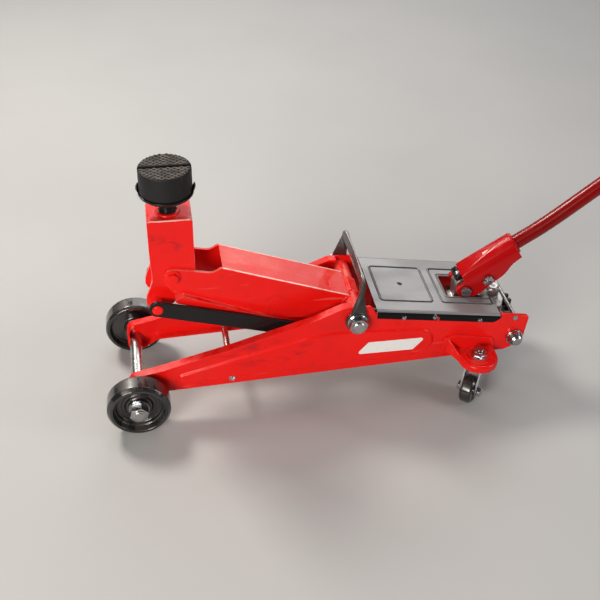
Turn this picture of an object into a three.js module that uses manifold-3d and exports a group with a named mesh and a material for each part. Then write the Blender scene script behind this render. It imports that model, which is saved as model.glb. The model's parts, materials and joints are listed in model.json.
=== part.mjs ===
// A hydraulic trolley jack. Millimetres, +Z up, +X towards the handle, +Y to the right of a person at the front
// looking back along the jack, so that "left" pieces have negative y. Every shape below is drawn in the chassis
// frame, whose zero is on the floor straight under the front axle. The finished group is then moved so that the
// origin is the middle of the bottom of the whole jack.
import * as THREE from "three";
import { mergeVertices } from "three/addons/utils/BufferGeometryUtils.js";
import Module from "manifold-3d";

const wasm = await Module();
wasm.setup();

// ---------------------------------------------------------------- driving dimensions
const GAP = 0.3; // between pieces that touch
const SIDES = [
  ["left", -1],
  ["right", 1],
];

// Front wheels and axle
const WHEEL_R = 45;
const WHEEL_INNER_Y = 76;
const WHEEL_OUTER_Y = 106;
const HUB_FACE_Y = 95;
const WHEEL_SIDES = 24;
const AXLE_R = 9;
const AXLE_THREAD_R = 8;
const AXLE_END_Y = 114.5;

// Side plates: channels with the flanges turned inwards
const WEB_Y = 65.5;
const SHEET = 3.5;
const FLANGE = 13;
const NOSE_X = -12;
const PLATE_END_X = 579;
const HUMP = { x0: 296, x1: 336, z: 168 };

// Cover plate, sloping down to the rear
const COVER = { x0: 344, x1: 532, zAt: 160, xAt: 352, slope: 0.15, t: 2, halfWidth: 68.2, skirt: 14 };
const COVER_OPENING = { x0: 460.6, halfWidth: 26 };

// Small pieces that cross or join the side plates
const TIE_ROD = { x: 136, z: 57, r: 5 };
const LINK_PIN_R = 8;
const REAR_STUD = { x: 560, z: 88, r: 6 };
const REAR_ROD = { x: 556, z: 124, r: 3 };
const SCREW_XS = [384, 500];
const SCREW_DROP = 10; // below the cover's top

// Linkage: A is the arm's pivot in the chassis, B the column's pivot in the arm,
// D the link's pivot in the column and C its pivot in the chassis, a parallelogram
const A = { x: 314.5, z: 147 };
const B = { x: 61.2, z: 220.5 };
const D = { x: 37.5, z: 178 };
const C = { x: A.x + D.x - B.x, z: A.z + D.z - B.z };
const SHAFT_R = 11;
const SHAFT_SHOULDER = 72.6; // where the thread begins, outside the carry handle's eyes
const CRANK = 45;
const CRANK_LEAN = 4; // degrees, towards the front

// Lift arm, column and links, by distance from the middle plane
const ARM_OUT = 30;
const ARM_IN = 26;
const ARM_LIP = 38;
const COLUMN_OUT = 25.4;
const COLUMN_IN = 21.4;
const LINK_IN = 41;
const LINK_OUT = 46;
const LINK_HALF = 11.5;

// Saddle
const COLUMN = { x0: 32, x1: 92.5, top: 309 };
const SCREW_X = 61;
const SCREW_R = 11;
const SCREW_LENGTH = 74;
const CUP = { r: 36.7, z0: 333, floor: 4, rim: 8 };
const PAD = { r: 35, z1: 376.4, slot: 6, slotDepth: 15 };

// Handle, socket and pump
const P = { x: 489, z: 149 };
const ROLLER = { x: 521, z: 166, r: 8 };
const MOUTH = { x: 564, z: 213.5 };
const SOCKET_TILT = 34; // degrees above the floor
const HANDLE_R = 11;
const HANDLE_BORE_R = 9;
const HANDLE_BEND = 6.5; // degrees of bend, just outside the socket
const HANDLE_LOWER = 470;
const HANDLE_UPPER = 430;
const GRIP_LENGTH = 130;
const PLUNGER_X = 521;
const PLUNGER_HEAD_Z = 147; // underside of its button
const PUMP_TOP = 132;
const VALVE = { x0: 566, y: -24, z: 82 };

// Casters
const CASTER = { x: 499, y: 88.5, r: 29, top: 78, wheelR: 22, wheelW: 18, trail: 15 };
const CASTER_SIDES = 16;
const CASTER_TRAIL_DIR = { x: -0.65, y: 0.76 };

// ---------------------------------------------------------------- materials
function material(colour, roughness, metalness) {
  return new THREE.MeshStandardMaterial({ color: colour, roughness, metalness });
}
const RED = material(0xc50f12, 0.25, 0.0);
const BLACK = material(0x17181a, 0.35, 0.2);
const GREY = material(0x3a3a3c, 0.4, 0.6);
const RUBBER = material(0x1b1a19, 0.8, 0.0);
const TYRE = material(0x0d0d0e, 0.3, 0.0);
const ZINC = material(0xb9bcc0, 0.3, 1.0);
const CAST = material(0x9d9c98, 0.5, 0.8);

// ---------------------------------------------------------------- geometry helpers
const DEG = Math.PI / 180;

function solid(geometry) {
  const bare = new THREE.BufferGeometry();
  const source = geometry.index ? geometry.toNonIndexed() : geometry;
  bare.setAttribute("position", source.getAttribute("position"));
  const merged = mergeVertices(bare, 1e-4);
  return new wasm.Manifold(
    new wasm.Mesh({
      numProp: 3,
      vertProperties: merged.attributes.position.array,
      triVerts: new Uint32Array(merged.index.array),
    }),
  );
}

function geometryOf(body) {
  const mesh = body.getMesh();
  const geometry = new THREE.BufferGeometry();
  geometry.setAttribute("position", new THREE.BufferAttribute(mesh.vertProperties, 3));
  geometry.setIndex(new THREE.BufferAttribute(mesh.triVerts, 1));
  geometry.computeVertexNormals();
  return geometry;
}

const join = (first, ...rest) => rest.reduce((sum, part) => sum.add(part), first);
const cut = (first, ...rest) => rest.reduce((left, tool) => left.subtract(tool), first);

// A shape drawn in X and Z, made solid from y0 to y1
function extrudeY(shape, y0, y1, curveSegments = 2) {
  const depth = Math.abs(y1 - y0);
  const geometry = new THREE.ExtrudeGeometry(shape, { depth, bevelEnabled: false, curveSegments });
  geometry.rotateX(Math.PI / 2);
  geometry.translate(0, Math.max(y0, y1), 0);
  return solid(geometry);
}

// A shape drawn in X and Y, made solid from z0 to z1
function extrudeZ(shape, z0, z1, curveSegments = 8) {
  const geometry = new THREE.ExtrudeGeometry(shape, { depth: z1 - z0, bevelEnabled: false, curveSegments });
  geometry.translate(0, 0, z0);
  return solid(geometry);
}

// An outline drawn in Y and Z, made solid from x0 to x1
function extrudeCorner(points, x0, x1) {
  const geometry = new THREE.ExtrudeGeometry(outline(points), { depth: x1 - x0, bevelEnabled: false, curveSegments: 4 });
  geometry.rotateX(Math.PI / 2).rotateZ(Math.PI / 2);
  return solid(geometry.translate(x0, 0, 0));
}

function box(x0, x1, y0, y1, z0, z1) {
  const geometry = new THREE.BoxGeometry(x1 - x0, y1 - y0, z1 - z0);
  geometry.translate((x0 + x1) / 2, (y0 + y1) / 2, (z0 + z1) / 2);
  return solid(geometry);
}

// A turned piece: profile is [radius, station] pairs, closed on the axis or on itself
function turned(profile, segments = 20) {
  return new THREE.LatheGeometry(
    profile.map(([r, s]) => new THREE.Vector2(r, s)),
    segments,
  );
}

// Radius of the corners of a many-sided wheel whose flats are at radius r
const cornerRadius = (r, segments) => r / Math.cos(Math.PI / segments);

// Lathe geometry runs along +Y; these two lay it along +Z or leave it, and put it in place
function turnedY(profile, x, z, segments) {
  return solid(turned(profile, segments).translate(x, 0, z));
}
function turnedZ(profile, x, y, segments) {
  return solid(turned(profile, segments).rotateX(Math.PI / 2).translate(x, y, 0));
}

function rodY(r, y0, y1, x, z, segments = 14) {
  const geometry = new THREE.CylinderGeometry(r, r, Math.abs(y1 - y0), segments);
  return solid(geometry.translate(x, (y0 + y1) / 2, z));
}
function rodZ(r, z0, z1, x, y, segments = 14) {
  const geometry = new THREE.CylinderGeometry(r, r, z1 - z0, segments).rotateX(Math.PI / 2);
  return solid(geometry.translate(x, y, (z0 + z1) / 2));
}
function rodX(r, x0, x1, y, z, segments = 16) {
  const geometry = new THREE.CylinderGeometry(r, r, x1 - x0, segments).rotateZ(Math.PI / 2);
  return solid(geometry.translate((x0 + x1) / 2, y, z));
}

// A hexagonal prism along Y, by its width across flats
function hexY(acrossFlats, y0, y1, x, z, turn = 0) {
  const corner = acrossFlats / Math.sqrt(3);
  const geometry = new THREE.CylinderGeometry(corner, corner, Math.abs(y1 - y0), 6);
  return solid(geometry.rotateY(turn).translate(x, (y0 + y1) / 2, z));
}

// An outline from points, each with the radius of its rounded corner
function outline(points) {
  const path = new THREE.Shape();
  const count = points.length;
  const towards = (from, to, distance) => {
    const length = Math.hypot(to[0] - from[0], to[1] - from[1]);
    const t = Math.min(distance / length, 0.49);
    return [from[0] + (to[0] - from[0]) * t, from[1] + (to[1] - from[1]) * t];
  };
  points.forEach((corner, i) => {
    const radius = corner[2] ?? 0;
    const before = points[(i + count - 1) % count];
    const after = points[(i + 1) % count];
    const start = radius ? towards(corner, before, radius) : corner;
    if (i === 0) path.moveTo(start[0], start[1]);
    else path.lineTo(start[0], start[1]);
    if (radius) {
      const end = towards(corner, after, radius);
      path.quadraticCurveTo(corner[0], corner[1], end[0], end[1]);
    }
  });
  path.closePath();
  return path;
}

// The hull outline of two circles, for a bar with round ends
function bar(p, q, rp, rq = rp) {
  const angle = Math.atan2(q.z - p.z, q.x - p.x);
  const lean = Math.asin((rp - rq) / Math.hypot(q.x - p.x, q.z - p.z));
  const shape = new THREE.Shape();
  shape.absarc(p.x, p.z, rp, angle + Math.PI / 2 - lean, angle - Math.PI / 2 + lean, false);
  shape.absarc(q.x, q.z, rq, angle - Math.PI / 2 + lean, angle + Math.PI / 2 - lean, false);
  return shape;
}

// A closed body through a row of rectangular sections
function loft(sections) {
  const positions = [];
  const corners = sections.map(({ at, wide, thin }) => {
    const offsets = [
      [1, 1],
      [-1, 1],
      [-1, -1],
      [1, -1],
    ];
    return offsets.map(([a, b]) => at.clone().addScaledVector(wide, a).addScaledVector(thin, b));
  });
  const quad = (a, b, c, d) => [a, b, c, a, c, d].forEach((p) => positions.push(p.x, p.y, p.z));
  for (let i = 0; i + 1 < corners.length; i++)
    for (let k = 0; k < 4; k++) {
      const n = (k + 1) % 4;
      quad(corners[i][k], corners[i][n], corners[i + 1][n], corners[i + 1][k]);
    }
  const last = corners[corners.length - 1];
  quad(corners[0][3], corners[0][2], corners[0][1], corners[0][0]);
  quad(last[0], last[1], last[2], last[3]);
  const geometry = new THREE.BufferGeometry();
  geometry.setAttribute("position", new THREE.Float32BufferAttribute(positions, 3));
  const body = solid(geometry);
  if (body.volume() > 0) return body;
  const flipped = positions.slice();
  for (let i = 0; i < flipped.length; i += 9)
    for (let k = 0; k < 3; k++) [flipped[i + k], flipped[i + 3 + k]] = [flipped[i + 3 + k], flipped[i + k]];
  geometry.setAttribute("position", new THREE.Float32BufferAttribute(flipped, 3));
  return solid(geometry);
}

const jack = new THREE.Group();

function add(name, body, look, parent = jack) {
  const mesh = new THREE.Mesh(geometryOf(body), look);
  mesh.name = name;
  parent.add(mesh);
  return mesh;
}

// ---------------------------------------------------------------- chassis
const coverTop = (x) => COVER.zAt - COVER.slope * (x - COVER.xAt);
const plateTop = (x) => coverTop(x) - COVER.t - 4.4; // clear of the fold inside the cover

function platePoints(inset) {
  const bottomAt = (x) => 42 + (x - 29) * 0.041 + inset;
  return [
    [NOSE_X + inset, 26 + inset, 12],
    [10, 26 + inset, 14],
    [34, bottomAt(34), 14],
    [PLATE_END_X - 30, bottomAt(PLATE_END_X - 30), 16],
    [PLATE_END_X - 4, 76, 18],
    [PLATE_END_X, coverTop(PLATE_END_X), 8],
    [COVER.x1 + 2, coverTop(COVER.x1 + 2)],
    [COVER.x1 + 2, plateTop(COVER.x1 + 2)],
    [COVER.x0 - 1.5, plateTop(COVER.x0 - 1.5), 3],
    [HUMP.x1, HUMP.z - inset, 8],
    [HUMP.x0, HUMP.z - inset, 14],
    [253, 149 - inset, 10],
    [126, 108 - inset, 20],
    [26, 80 - inset, 14],
    [NOSE_X + inset, 72 - inset, 14],
  ];
}

function embossOutline() {
  return outline([
    [56, 56, 9],
    [300, 64, 20],
    [400, 68, 22],
    [436, 80, 24],
    [430, 119, 22],
    [330, 127, 20],
    [284, 129, 20],
    [245, 124, 20],
    [126, 92, 20],
    [58, 73, 8],
  ]);
}

function sidePlate(side) {
  const skin = extrudeY(outline(platePoints(0)), side * (WEB_Y - FLANGE), side * WEB_Y, 3);
  const hollow = extrudeY(outline(platePoints(SHEET)), 0, side * (WEB_Y - SHEET), 3);
  const openTail = box(HUMP.x0 + 12, 600, Math.min(0, side * (WEB_Y - SHEET)), Math.max(0, side * (WEB_Y - SHEET)), 72, 200);
  const emboss = extrudeY(embossOutline(), side * (WEB_Y - 1), side * (WEB_Y + 2), 4);
  const reach = [side * 30, side * 90];
  const holes = [
    rodY(AXLE_R + GAP, ...reach, 0, WHEEL_R),
    rodY(TIE_ROD.r + GAP, ...reach, TIE_ROD.x, TIE_ROD.z),
    rodY(SHAFT_R + GAP, ...reach, A.x, A.z, 16),
    rodY(LINK_PIN_R + GAP, ...reach, C.x, C.z),
    rodY(REAR_STUD.r + GAP, ...reach, REAR_STUD.x, REAR_STUD.z),
    rodY(REAR_ROD.r + GAP, ...reach, REAR_ROD.x, REAR_ROD.z, 12),
    ...SCREW_XS.map((x) => rodY(2 + GAP, ...reach, x, coverTop(x) - SCREW_DROP, 8)),
  ];
  return cut(join(skin, emboss), hollow, openTail, ...holes);
}

function coverPlate() {
  const length = COVER.x1 - COVER.x0;
  const half = COVER.halfWidth;
  const section = [
    [-half, -COVER.skirt],
    [-half + COVER.t, -COVER.skirt],
    [-half + COVER.t, -COVER.t - 4, 3],
    [-half + COVER.t + 4, -COVER.t, 3],
    [half - COVER.t - 4, -COVER.t, 3],
    [half - COVER.t, -COVER.t - 4, 3],
    [half - COVER.t, -COVER.skirt],
    [half, -COVER.skirt],
    [half, 0, 6],
    [-half, 0, 6],
  ];
  const geometry = new THREE.ExtrudeGeometry(outline(section), {
    depth: length,
    bevelEnabled: false,
    curveSegments: 3,
  });
  geometry.rotateX(Math.PI / 2).rotateZ(Math.PI / 2);
  geometry.translate(COVER.x0, 0, 0);
  geometry.applyMatrix4(new THREE.Matrix4().makeShear(0, -COVER.slope, 0, 0, 0, 0));
  geometry.translate(0, 0, coverTop(0));
  const opening = box(COVER_OPENING.x0, 700, -COVER_OPENING.halfWidth, COVER_OPENING.halfWidth, 60, 220);
  const notches = SIDES.map(([, s]) => box(434, 438, s > 0 ? 60 : -80, s > 0 ? 80 : -60, 100, coverTop(436) - 7));
  const holes = SCREW_XS.flatMap((x) => SIDES.map(([, s]) => rodY(2 + GAP, s * 60, s * 80, x, coverTop(x) - SCREW_DROP, 8)));
  return cut(solid(geometry), opening, ...notches, ...holes);
}

function coverScrew(x, side) {
  const z = coverTop(x) - SCREW_DROP;
  const shank = rodY(2, side * 62, side * (COVER.halfWidth + 1), x, z, 8);
  const head = rodY(3.6, side * (COVER.halfWidth + GAP), side * (COVER.halfWidth + 2.4), x, z, 12);
  return join(shank, head);
}

function frontAxle() {
  const shoulder = HUB_FACE_Y + 1;
  const half = [
    [0, -AXLE_END_Y],
    [AXLE_THREAD_R - 1, -AXLE_END_Y],
    [AXLE_THREAD_R, -AXLE_END_Y + 1],
    [AXLE_THREAD_R, -shoulder],
    [AXLE_R, -shoulder],
  ];
  const other = half.map(([r, s]) => [r, -s]).reverse();
  return turnedY([...half, ...other], 0, WHEEL_R, 14);
}

function ringY(inner, outer, y0, y1, x, z, segments = 20) {
  const middle = (y0 + y1) / 2;
  const half = Math.abs(y1 - y0) / 2 + 2;
  return cut(rodY(outer, y0, y1, x, z, segments), rodY(inner, middle - half, middle + half, x, z));
}

function nutY(acrossFlats, hole, y0, y1, x, z, turn = 0) {
  const middle = (y0 + y1) / 2;
  const half = Math.abs(y1 - y0) / 2 + 2;
  return cut(hexY(acrossFlats, y0, y1, x, z, turn), rodY(hole, middle - half, middle + half, x, z));
}

function frontWheel(side) {
  const rim = WHEEL_R - 7.5;
  const profile = [
    [AXLE_R + GAP, WEB_Y + 0.6],
    [16, WEB_Y + 0.6],
    [16, 86],
    [rim, 86],
    [rim + 1, WHEEL_INNER_Y],
    [WHEEL_R - 3, WHEEL_INNER_Y],
    [cornerRadius(WHEEL_R, WHEEL_SIDES), WHEEL_INNER_Y + 3],
    [cornerRadius(WHEEL_R, WHEEL_SIDES), WHEEL_OUTER_Y - 4],
    [WHEEL_R - 4, WHEEL_OUTER_Y],
    [rim + 1, WHEEL_OUTER_Y],
    [rim - 1, 92],
    [20, 92],
    [18, HUB_FACE_Y],
    [AXLE_R + GAP, HUB_FACE_Y],
  ];
  const placed = profile.map(([r, y]) => [r, side * y]);
  if (side < 0) placed.reverse();
  placed.push(placed[0]);
  const geometry = turned(placed, WHEEL_SIDES).rotateY(Math.PI / WHEEL_SIDES);
  return solid(geometry.translate(0, 0, WHEEL_R));
}

// A strap bent to a square hoop. Its width lies across the jack at the eyes and turns to face forward at the top
function carryHandle() {
  const strap = { half: 9, thin: 2.8 };
  const top = { x: 321, z: 208 };
  const straight = 50;
  const legY = WEB_Y + 4.3;
  const lean = new THREE.Vector3(top.x - A.x, 0, top.z - A.z).normalize();
  const across = new THREE.Vector3(lean.z, 0, -lean.x);
  const station = (side, up, y, halfWide, halfThin, turn) => ({
    at: new THREE.Vector3(A.x, side * y, A.z).addScaledVector(lean, up),
    wide: across
      .clone()
      .multiplyScalar(halfWide * Math.cos(turn * DEG))
      .add(new THREE.Vector3(0, -side * halfWide * Math.sin(turn * DEG), 0)),
    thin: new THREE.Vector3(0, halfThin * Math.cos(turn * DEG), 0).addScaledVector(
      across,
      side * halfThin * Math.sin(turn * DEG),
    ),
  });
  const leg = (side) =>
    loft([
      station(side, 10, legY, 11, strap.thin, 0),
      station(side, 26, legY - 1, 9.5, strap.thin, 0),
      station(side, 40, legY - 2.5, 8.5, 3.6, 35),
      station(side, 50, legY - 5, 7.5, 4.2, 60),
      station(side, 57, legY - 9, strap.half, 4.4, 84),
    ]);
  const corner = (side) =>
    extrudeCorner(
      [
        [side * (legY - 9 - strap.half), top.z - 6],
        [side * (legY - 9 + strap.half), top.z - 6],
        [side * (legY - 9 + strap.half), top.z + strap.half, 9],
        [side * straight, top.z + strap.half],
        [side * straight, top.z - strap.half],
        [side * (legY - 9 - strap.half), top.z - strap.half],
      ],
      top.x - strap.thin,
      top.x + strap.thin,
    );
  const bars = SIDES.map(([, s]) => join(leg(s), corner(s)));
  const topBar = box(
    top.x - strap.thin,
    top.x + strap.thin,
    -straight - 1,
    straight + 1,
    top.z - strap.half,
    top.z + strap.half,
  );
  const eyes = SIDES.map(([, s]) => rodY(16.5, s * (legY - 2.8), s * (legY + 2.8), A.x, A.z, 20));
  const holes = SIDES.map(([, s]) => rodY(SHAFT_R + GAP, s * 55, s * 82, A.x, A.z, 16));
  return cut(join(topBar, ...bars, ...eyes), ...holes);
}

// A pressed bracket: a round flange with a down-turned lip, a tab on the side plate and a gusset in front
function casterBracket(side) {
  const { x, y, r, top } = CASTER;
  const wall = WEB_Y + GAP;
  const lip = 3;
  const plan = (inset) => {
    const shape = new THREE.Shape();
    shape.moveTo(x - r - 10 + inset, side * (wall + inset));
    shape.lineTo(x - r + inset, side * y);
    shape.absarc(x, side * y, r - inset, Math.PI, 0, side > 0);
    shape.lineTo(x + r - inset, side * (wall + inset));
    shape.closePath();
    return shape;
  };
  const dish = cut(extrudeZ(plan(0), top - 11, top, 12), extrudeZ(plan(lip), top - 20, top - 4, 12));
  const tab = outline([
    [x - r - 22, top - 7, 3],
    [x + r, top - 7, 2],
    [x + r, top + 12, 6],
    [x - r, top + 24, 10],
    [x - r - 22, top + 20, 6],
  ]);
  const front = {
    at: new THREE.Vector3(x - r - 14, side * (wall + 1.5), top + 6),
    wide: new THREE.Vector3(1.6, 0.4 * side, 0),
    thin: new THREE.Vector3(0, side, 12),
  };
  const back = {
    at: new THREE.Vector3(x - r + 1.4, side * (y - 2), top - 5.4),
    wide: new THREE.Vector3(1.4, 0.3 * side, 0),
    thin: new THREE.Vector3(0, side, 5),
  };
  const hole = rodZ(6 + GAP, top - 30, top + 30, x, side * y);
  return cut(join(dish, extrudeY(tab, side * wall, side * (wall + lip)), loft([front, back])), hole);
}

function frontTieRod() {
  const ends = WEB_Y + 5;
  const rod = rodY(TIE_ROD.r, -ends + 1, ends - 1, TIE_ROD.x, TIE_ROD.z);
  return join(rod, rodY(TIE_ROD.r - 1.2, -ends, ends, TIE_ROD.x, TIE_ROD.z));
}

function armPivotShaft() {
  const end = 86;
  const half = [
    [0, -end],
    [SHAFT_R - 3.2, -end],
    [SHAFT_R - 2, -end + 1.2],
    [SHAFT_R - 2, -SHAFT_SHOULDER],
    [SHAFT_R, -SHAFT_SHOULDER],
  ];
  const other = half.map(([r, s]) => [r, -s]).reverse();
  return turnedY([...half, ...other], A.x, A.z, 16);
}

// ---------------------------------------------------------------- casters
const trailAngle = (side) => Math.atan2(side * CASTER_TRAIL_DIR.y, CASTER_TRAIL_DIR.x);

// Puts pieces drawn about a swivel at x = y = 0, trailing along +X, in their place
function casterGroup(side) {
  const group = new THREE.Group();
  group.position.set(CASTER.x, side * CASTER.y, 0);
  group.rotation.z = trailAngle(side);
  jack.add(group);
  return group;
}

function casterFork() {
  const legY = [CASTER.wheelW / 2 + 1.5, CASTER.wheelW / 2 + 4];
  const leg = outline([
    [-13, CASTER.top - 12, 3],
    [-12, CASTER.top - 24, 8],
    [CASTER.trail - 8, 12, 8],
    [CASTER.trail + 9, 14, 8],
    [CASTER.trail + 8, 34, 12],
    [14, CASTER.top - 20, 6],
    [13, CASTER.top - 12, 3],
  ]);
  const legs = [-1, 1].map((s) => extrudeY(leg, s * legY[0], s * legY[1]));
  const crown = rodZ(18.5, CASTER.top - 15, CASTER.top - 12, 0, 0, 16);
  const race = rodZ(15, CASTER.top - 12.5, CASTER.top - 5, 0, 0, 16);
  const stud = rodZ(6, CASTER.top - 14, CASTER.top + 13, 0, 0);
  const holes = rodY(4 + GAP, -20, 20, CASTER.trail, CASTER.wheelR, 16);
  return cut(join(crown, race, stud, ...legs), holes);
}

function casterWheel() {
  const { wheelR: r, wheelW: w } = CASTER;
  const half = [
    [4 + GAP, -w / 2 - 0.8],
    [7, -w / 2 - 0.8],
    [7, -w / 2 + 2],
    [r - 6, -w / 2 + 2],
    [r - 5, -w / 2],
    [r - 1.5, -w / 2],
    [cornerRadius(r, CASTER_SIDES), -w / 2 + 1.5],
  ];
  const other = half.map(([radius, s]) => [radius, -s]).reverse();
  const geometry = turned([...half, ...other, half[0]], CASTER_SIDES).rotateY(Math.PI / CASTER_SIDES);
  return solid(geometry.translate(CASTER.trail, 0, r));
}

function casterAxle() {
  const reach = CASTER.wheelW / 2 + 4 + GAP;
  const shank = rodY(4, -reach - 1, reach + 1, CASTER.trail, CASTER.wheelR, 16);
  const head = hexY(13, -reach - 4.5, -reach, CASTER.trail, CASTER.wheelR);
  const nut = hexY(13, reach, reach + 5, CASTER.trail, CASTER.wheelR);
  return join(shank, head, nut);
}

function kingNut(side) {
  const corner = 18 / Math.sqrt(3);
  const body = new THREE.CylinderGeometry(corner, corner, 9, 6).rotateX(Math.PI / 2);
  const flange = rodZ(12, CASTER.top + GAP, CASTER.top + 1.8, CASTER.x, side * CASTER.y, 16);
  const nut = solid(body.translate(CASTER.x, side * CASTER.y, CASTER.top + 6));
  return cut(join(flange, nut), rodZ(6 + GAP, 60, 120, CASTER.x, side * CASTER.y));
}

// ---------------------------------------------------------------- lift arm, links and saddle
const along = (from, to, t) => [from.x + (to.x - from.x) * t, from.z + (to.z - from.z) * t];
const crankPin = {
  x: A.x - CRANK * Math.sin(CRANK_LEAN * DEG),
  z: A.z - CRANK * Math.cos(CRANK_LEAN * DEG),
};
const CRANK_PIN_R = 8;

// A folded channel, open below and in front, with lips turned out along the bottom of its cheeks
function liftArm() {
  const cheek = outline([
    [B.x - 11.5, B.z + 2, 7],
    [B.x - 8, B.z + 10.5, 5],
    [B.x + 8, B.z + 11, 6],
    [117, 221.5, 6],
    [128, 229.5, 3],
    [321, 159.5, 12],
    [332, 149, 12],
    [330, 134, 12],
    [318, 128, 12],
    [296, 124, 14],
    [200, 136, 20],
    [74, 190, 6],
    [62, 193, 4],
    [B.x - 10, B.z - 9, 7],
  ]);
  const outer = extrudeY(cheek, -ARM_OUT, ARM_OUT);
  const inside = outline([
    [20, 120],
    [20, 260],
    [125, 260],
    [130.5, 224.5],
    [319, 156, 8],
    [328, 148, 6],
    [326, 100],
  ]);
  const hollow = extrudeY(inside, -ARM_IN, ARM_IN);
  const lip = outline([
    [64, 181, 3],
    [62, 186, 3],
    [75, 191.5],
    [204, 136],
    [201, 131],
  ]);
  const lips = SIDES.map(([, s]) => extrudeY(lip, s * ARM_IN, s * ARM_LIP));
  const reach = WEB_Y - SHEET - 0.8;
  const hub = rodY(15, -reach, reach, A.x, A.z, 18);
  const crank = extrudeY(bar(A, crankPin, 17, 14), -16, 16);
  const slot = box(270, 350, -9, 9, crankPin.z - 16, crankPin.z + 15);
  const holes = [
    rodY(SHAFT_R + GAP, -70, 70, A.x, A.z, 16),
    rodY(CRANK_PIN_R + GAP, -60, 60, crankPin.x, crankPin.z),
    rodY(6 + GAP, -60, 60, B.x, B.z),
  ];
  return cut(join(cut(outer, hollow), ...lips, hub, crank.subtract(slot)), ...holes);
}

function frontPivotBolt(side) {
  const shank = rodY(6, side * (COLUMN_IN - 3), side * (ARM_OUT + 2), B.x, B.z);
  const flange = rodY(11, side * (ARM_OUT + GAP), side * (ARM_OUT + 2), B.x, B.z, 16);
  return join(shank, flange, hexY(14, side * (ARM_OUT + 1), side * (ARM_OUT + 7), B.x, B.z, 0.3));
}

function saddleColumn() {
  const cheek = outline([
    [COLUMN.x0, COLUMN.top, 5],
    [COLUMN.x0, 240, 20],
    [COLUMN.x0 + 3, 212, 14],
    [D.x - 15, D.z + 8, 10],
    [D.x - 14, D.z - 13, 12],
    [D.x + 14, D.z - 13, 12],
    [80, 190, 12],
    [COLUMN.x1, 216, 10],
    [COLUMN.x1, COLUMN.top, 5],
  ]);
  const outer = extrudeY(cheek, -COLUMN_OUT, COLUMN_OUT);
  const hollow = box(0, 200, -COLUMN_IN, COLUMN_IN, 100, COLUMN.top - 7);
  const boss = rodZ(18, COLUMN.top - 27, COLUMN.top - 5, SCREW_X, 0, 16);
  const stiffener = box(COLUMN.x1 - 4, COLUMN.x1, -COLUMN_OUT, COLUMN_OUT, 236, COLUMN.top - 3);
  const holes = [
    rodY(6 + GAP, -60, 60, B.x, B.z),
    rodY(6 + GAP, -60, 60, D.x, D.z),
    rodZ(SCREW_R + GAP, 200, 400, SCREW_X, 0, 16),
  ];
  return cut(join(cut(outer, hollow), boss, stiffener), ...holes);
}

function linkFrontPin(side) {
  const profile = [
    [0, COLUMN_IN - 2],
    [6, COLUMN_IN - 2],
    [6, COLUMN_OUT + GAP],
    [8, COLUMN_OUT + GAP],
    [8, LINK_IN - GAP],
    [6, LINK_IN - GAP],
    [6, LINK_OUT + GAP],
    [6.8, LINK_OUT + GAP],
    [6, LINK_OUT + 2.6],
    [0, LINK_OUT + 3],
  ];
  const placed = profile.map(([r, s]) => [r, side * s]);
  if (side < 0) placed.reverse();
  return turnedY(placed, D.x, D.z, 12);
}

function levelLink(side) {
  const blank = extrudeY(bar(D, C, LINK_HALF + 0.5), side * LINK_IN, side * LINK_OUT, 8);
  const holes = [D, C].map((p, i) => rodY((i ? LINK_PIN_R : 6) + GAP, side * 30, side * 60, p.x, p.z));
  return cut(blank, ...holes);
}

function linkRearPin(side) {
  const shank = rodY(LINK_PIN_R, side * (LINK_IN - 0.4), side * (WEB_Y + 0.5), C.x, C.z);
  const collar = rodY(12, side * (LINK_OUT + GAP), side * (WEB_Y - SHEET - GAP), C.x, C.z, 16);
  return join(shank, collar);
}

// The thread is left out: the solid is the thread's outside diameter
function extensionScrew() {
  const z0 = CUP.z0 - GAP - SCREW_LENGTH;
  return rodZ(SCREW_R, z0, CUP.z0 - GAP, SCREW_X, 0, 20);
}

function saddleCup() {
  const { r, z0, floor, rim } = CUP;
  const dish = turnedZ(
    [
      [0, z0],
      [r - 6, z0],
      [r, z0 + floor + 1],
      [r, z0 + rim],
      [r - 1.4, z0 + rim],
      [r - 1.4, z0 + floor + 1],
      [r - 4, z0 + floor],
      [0, z0 + floor],
    ],
    SCREW_X,
    0,
    28,
  );
  const ring = cut(
    rodZ(r, z0 + rim - 1, z0 + rim + 6, SCREW_X, 0, 28),
    rodZ(r - 1.3, z0, z0 + rim + 9, SCREW_X, 0, 28),
  );
  const ears = [0, 180].map((turn) => {
    const block = new THREE.BoxGeometry(20, 18, 20).translate(r, 0, z0 + rim + 4).rotateZ((turn - 6) * DEG);
    return ring.intersect(solid(block.translate(SCREW_X, 0, 0)));
  });
  return join(dish, ...ears);
}

function rubberPad() {
  const z0 = CUP.z0 + CUP.floor + GAP;
  const body = turnedZ(
    [
      [0, z0],
      [PAD.r - 3, z0],
      [PAD.r, z0 + 5],
      [PAD.r, PAD.z1 - 1.5],
      [PAD.r - 1.5, PAD.z1],
      [0, PAD.z1],
    ],
    SCREW_X,
    0,
    28,
  );
  const half = PAD.slot / 2;
  return cut(body, box(0, 120, -half, half, PAD.z1 - PAD.slotDepth, PAD.z1 + 5));
}

// ---------------------------------------------------------------- power unit
const RAM = { r: 10, z: 102, boreR: 17, tubeR: 22 };

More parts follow.
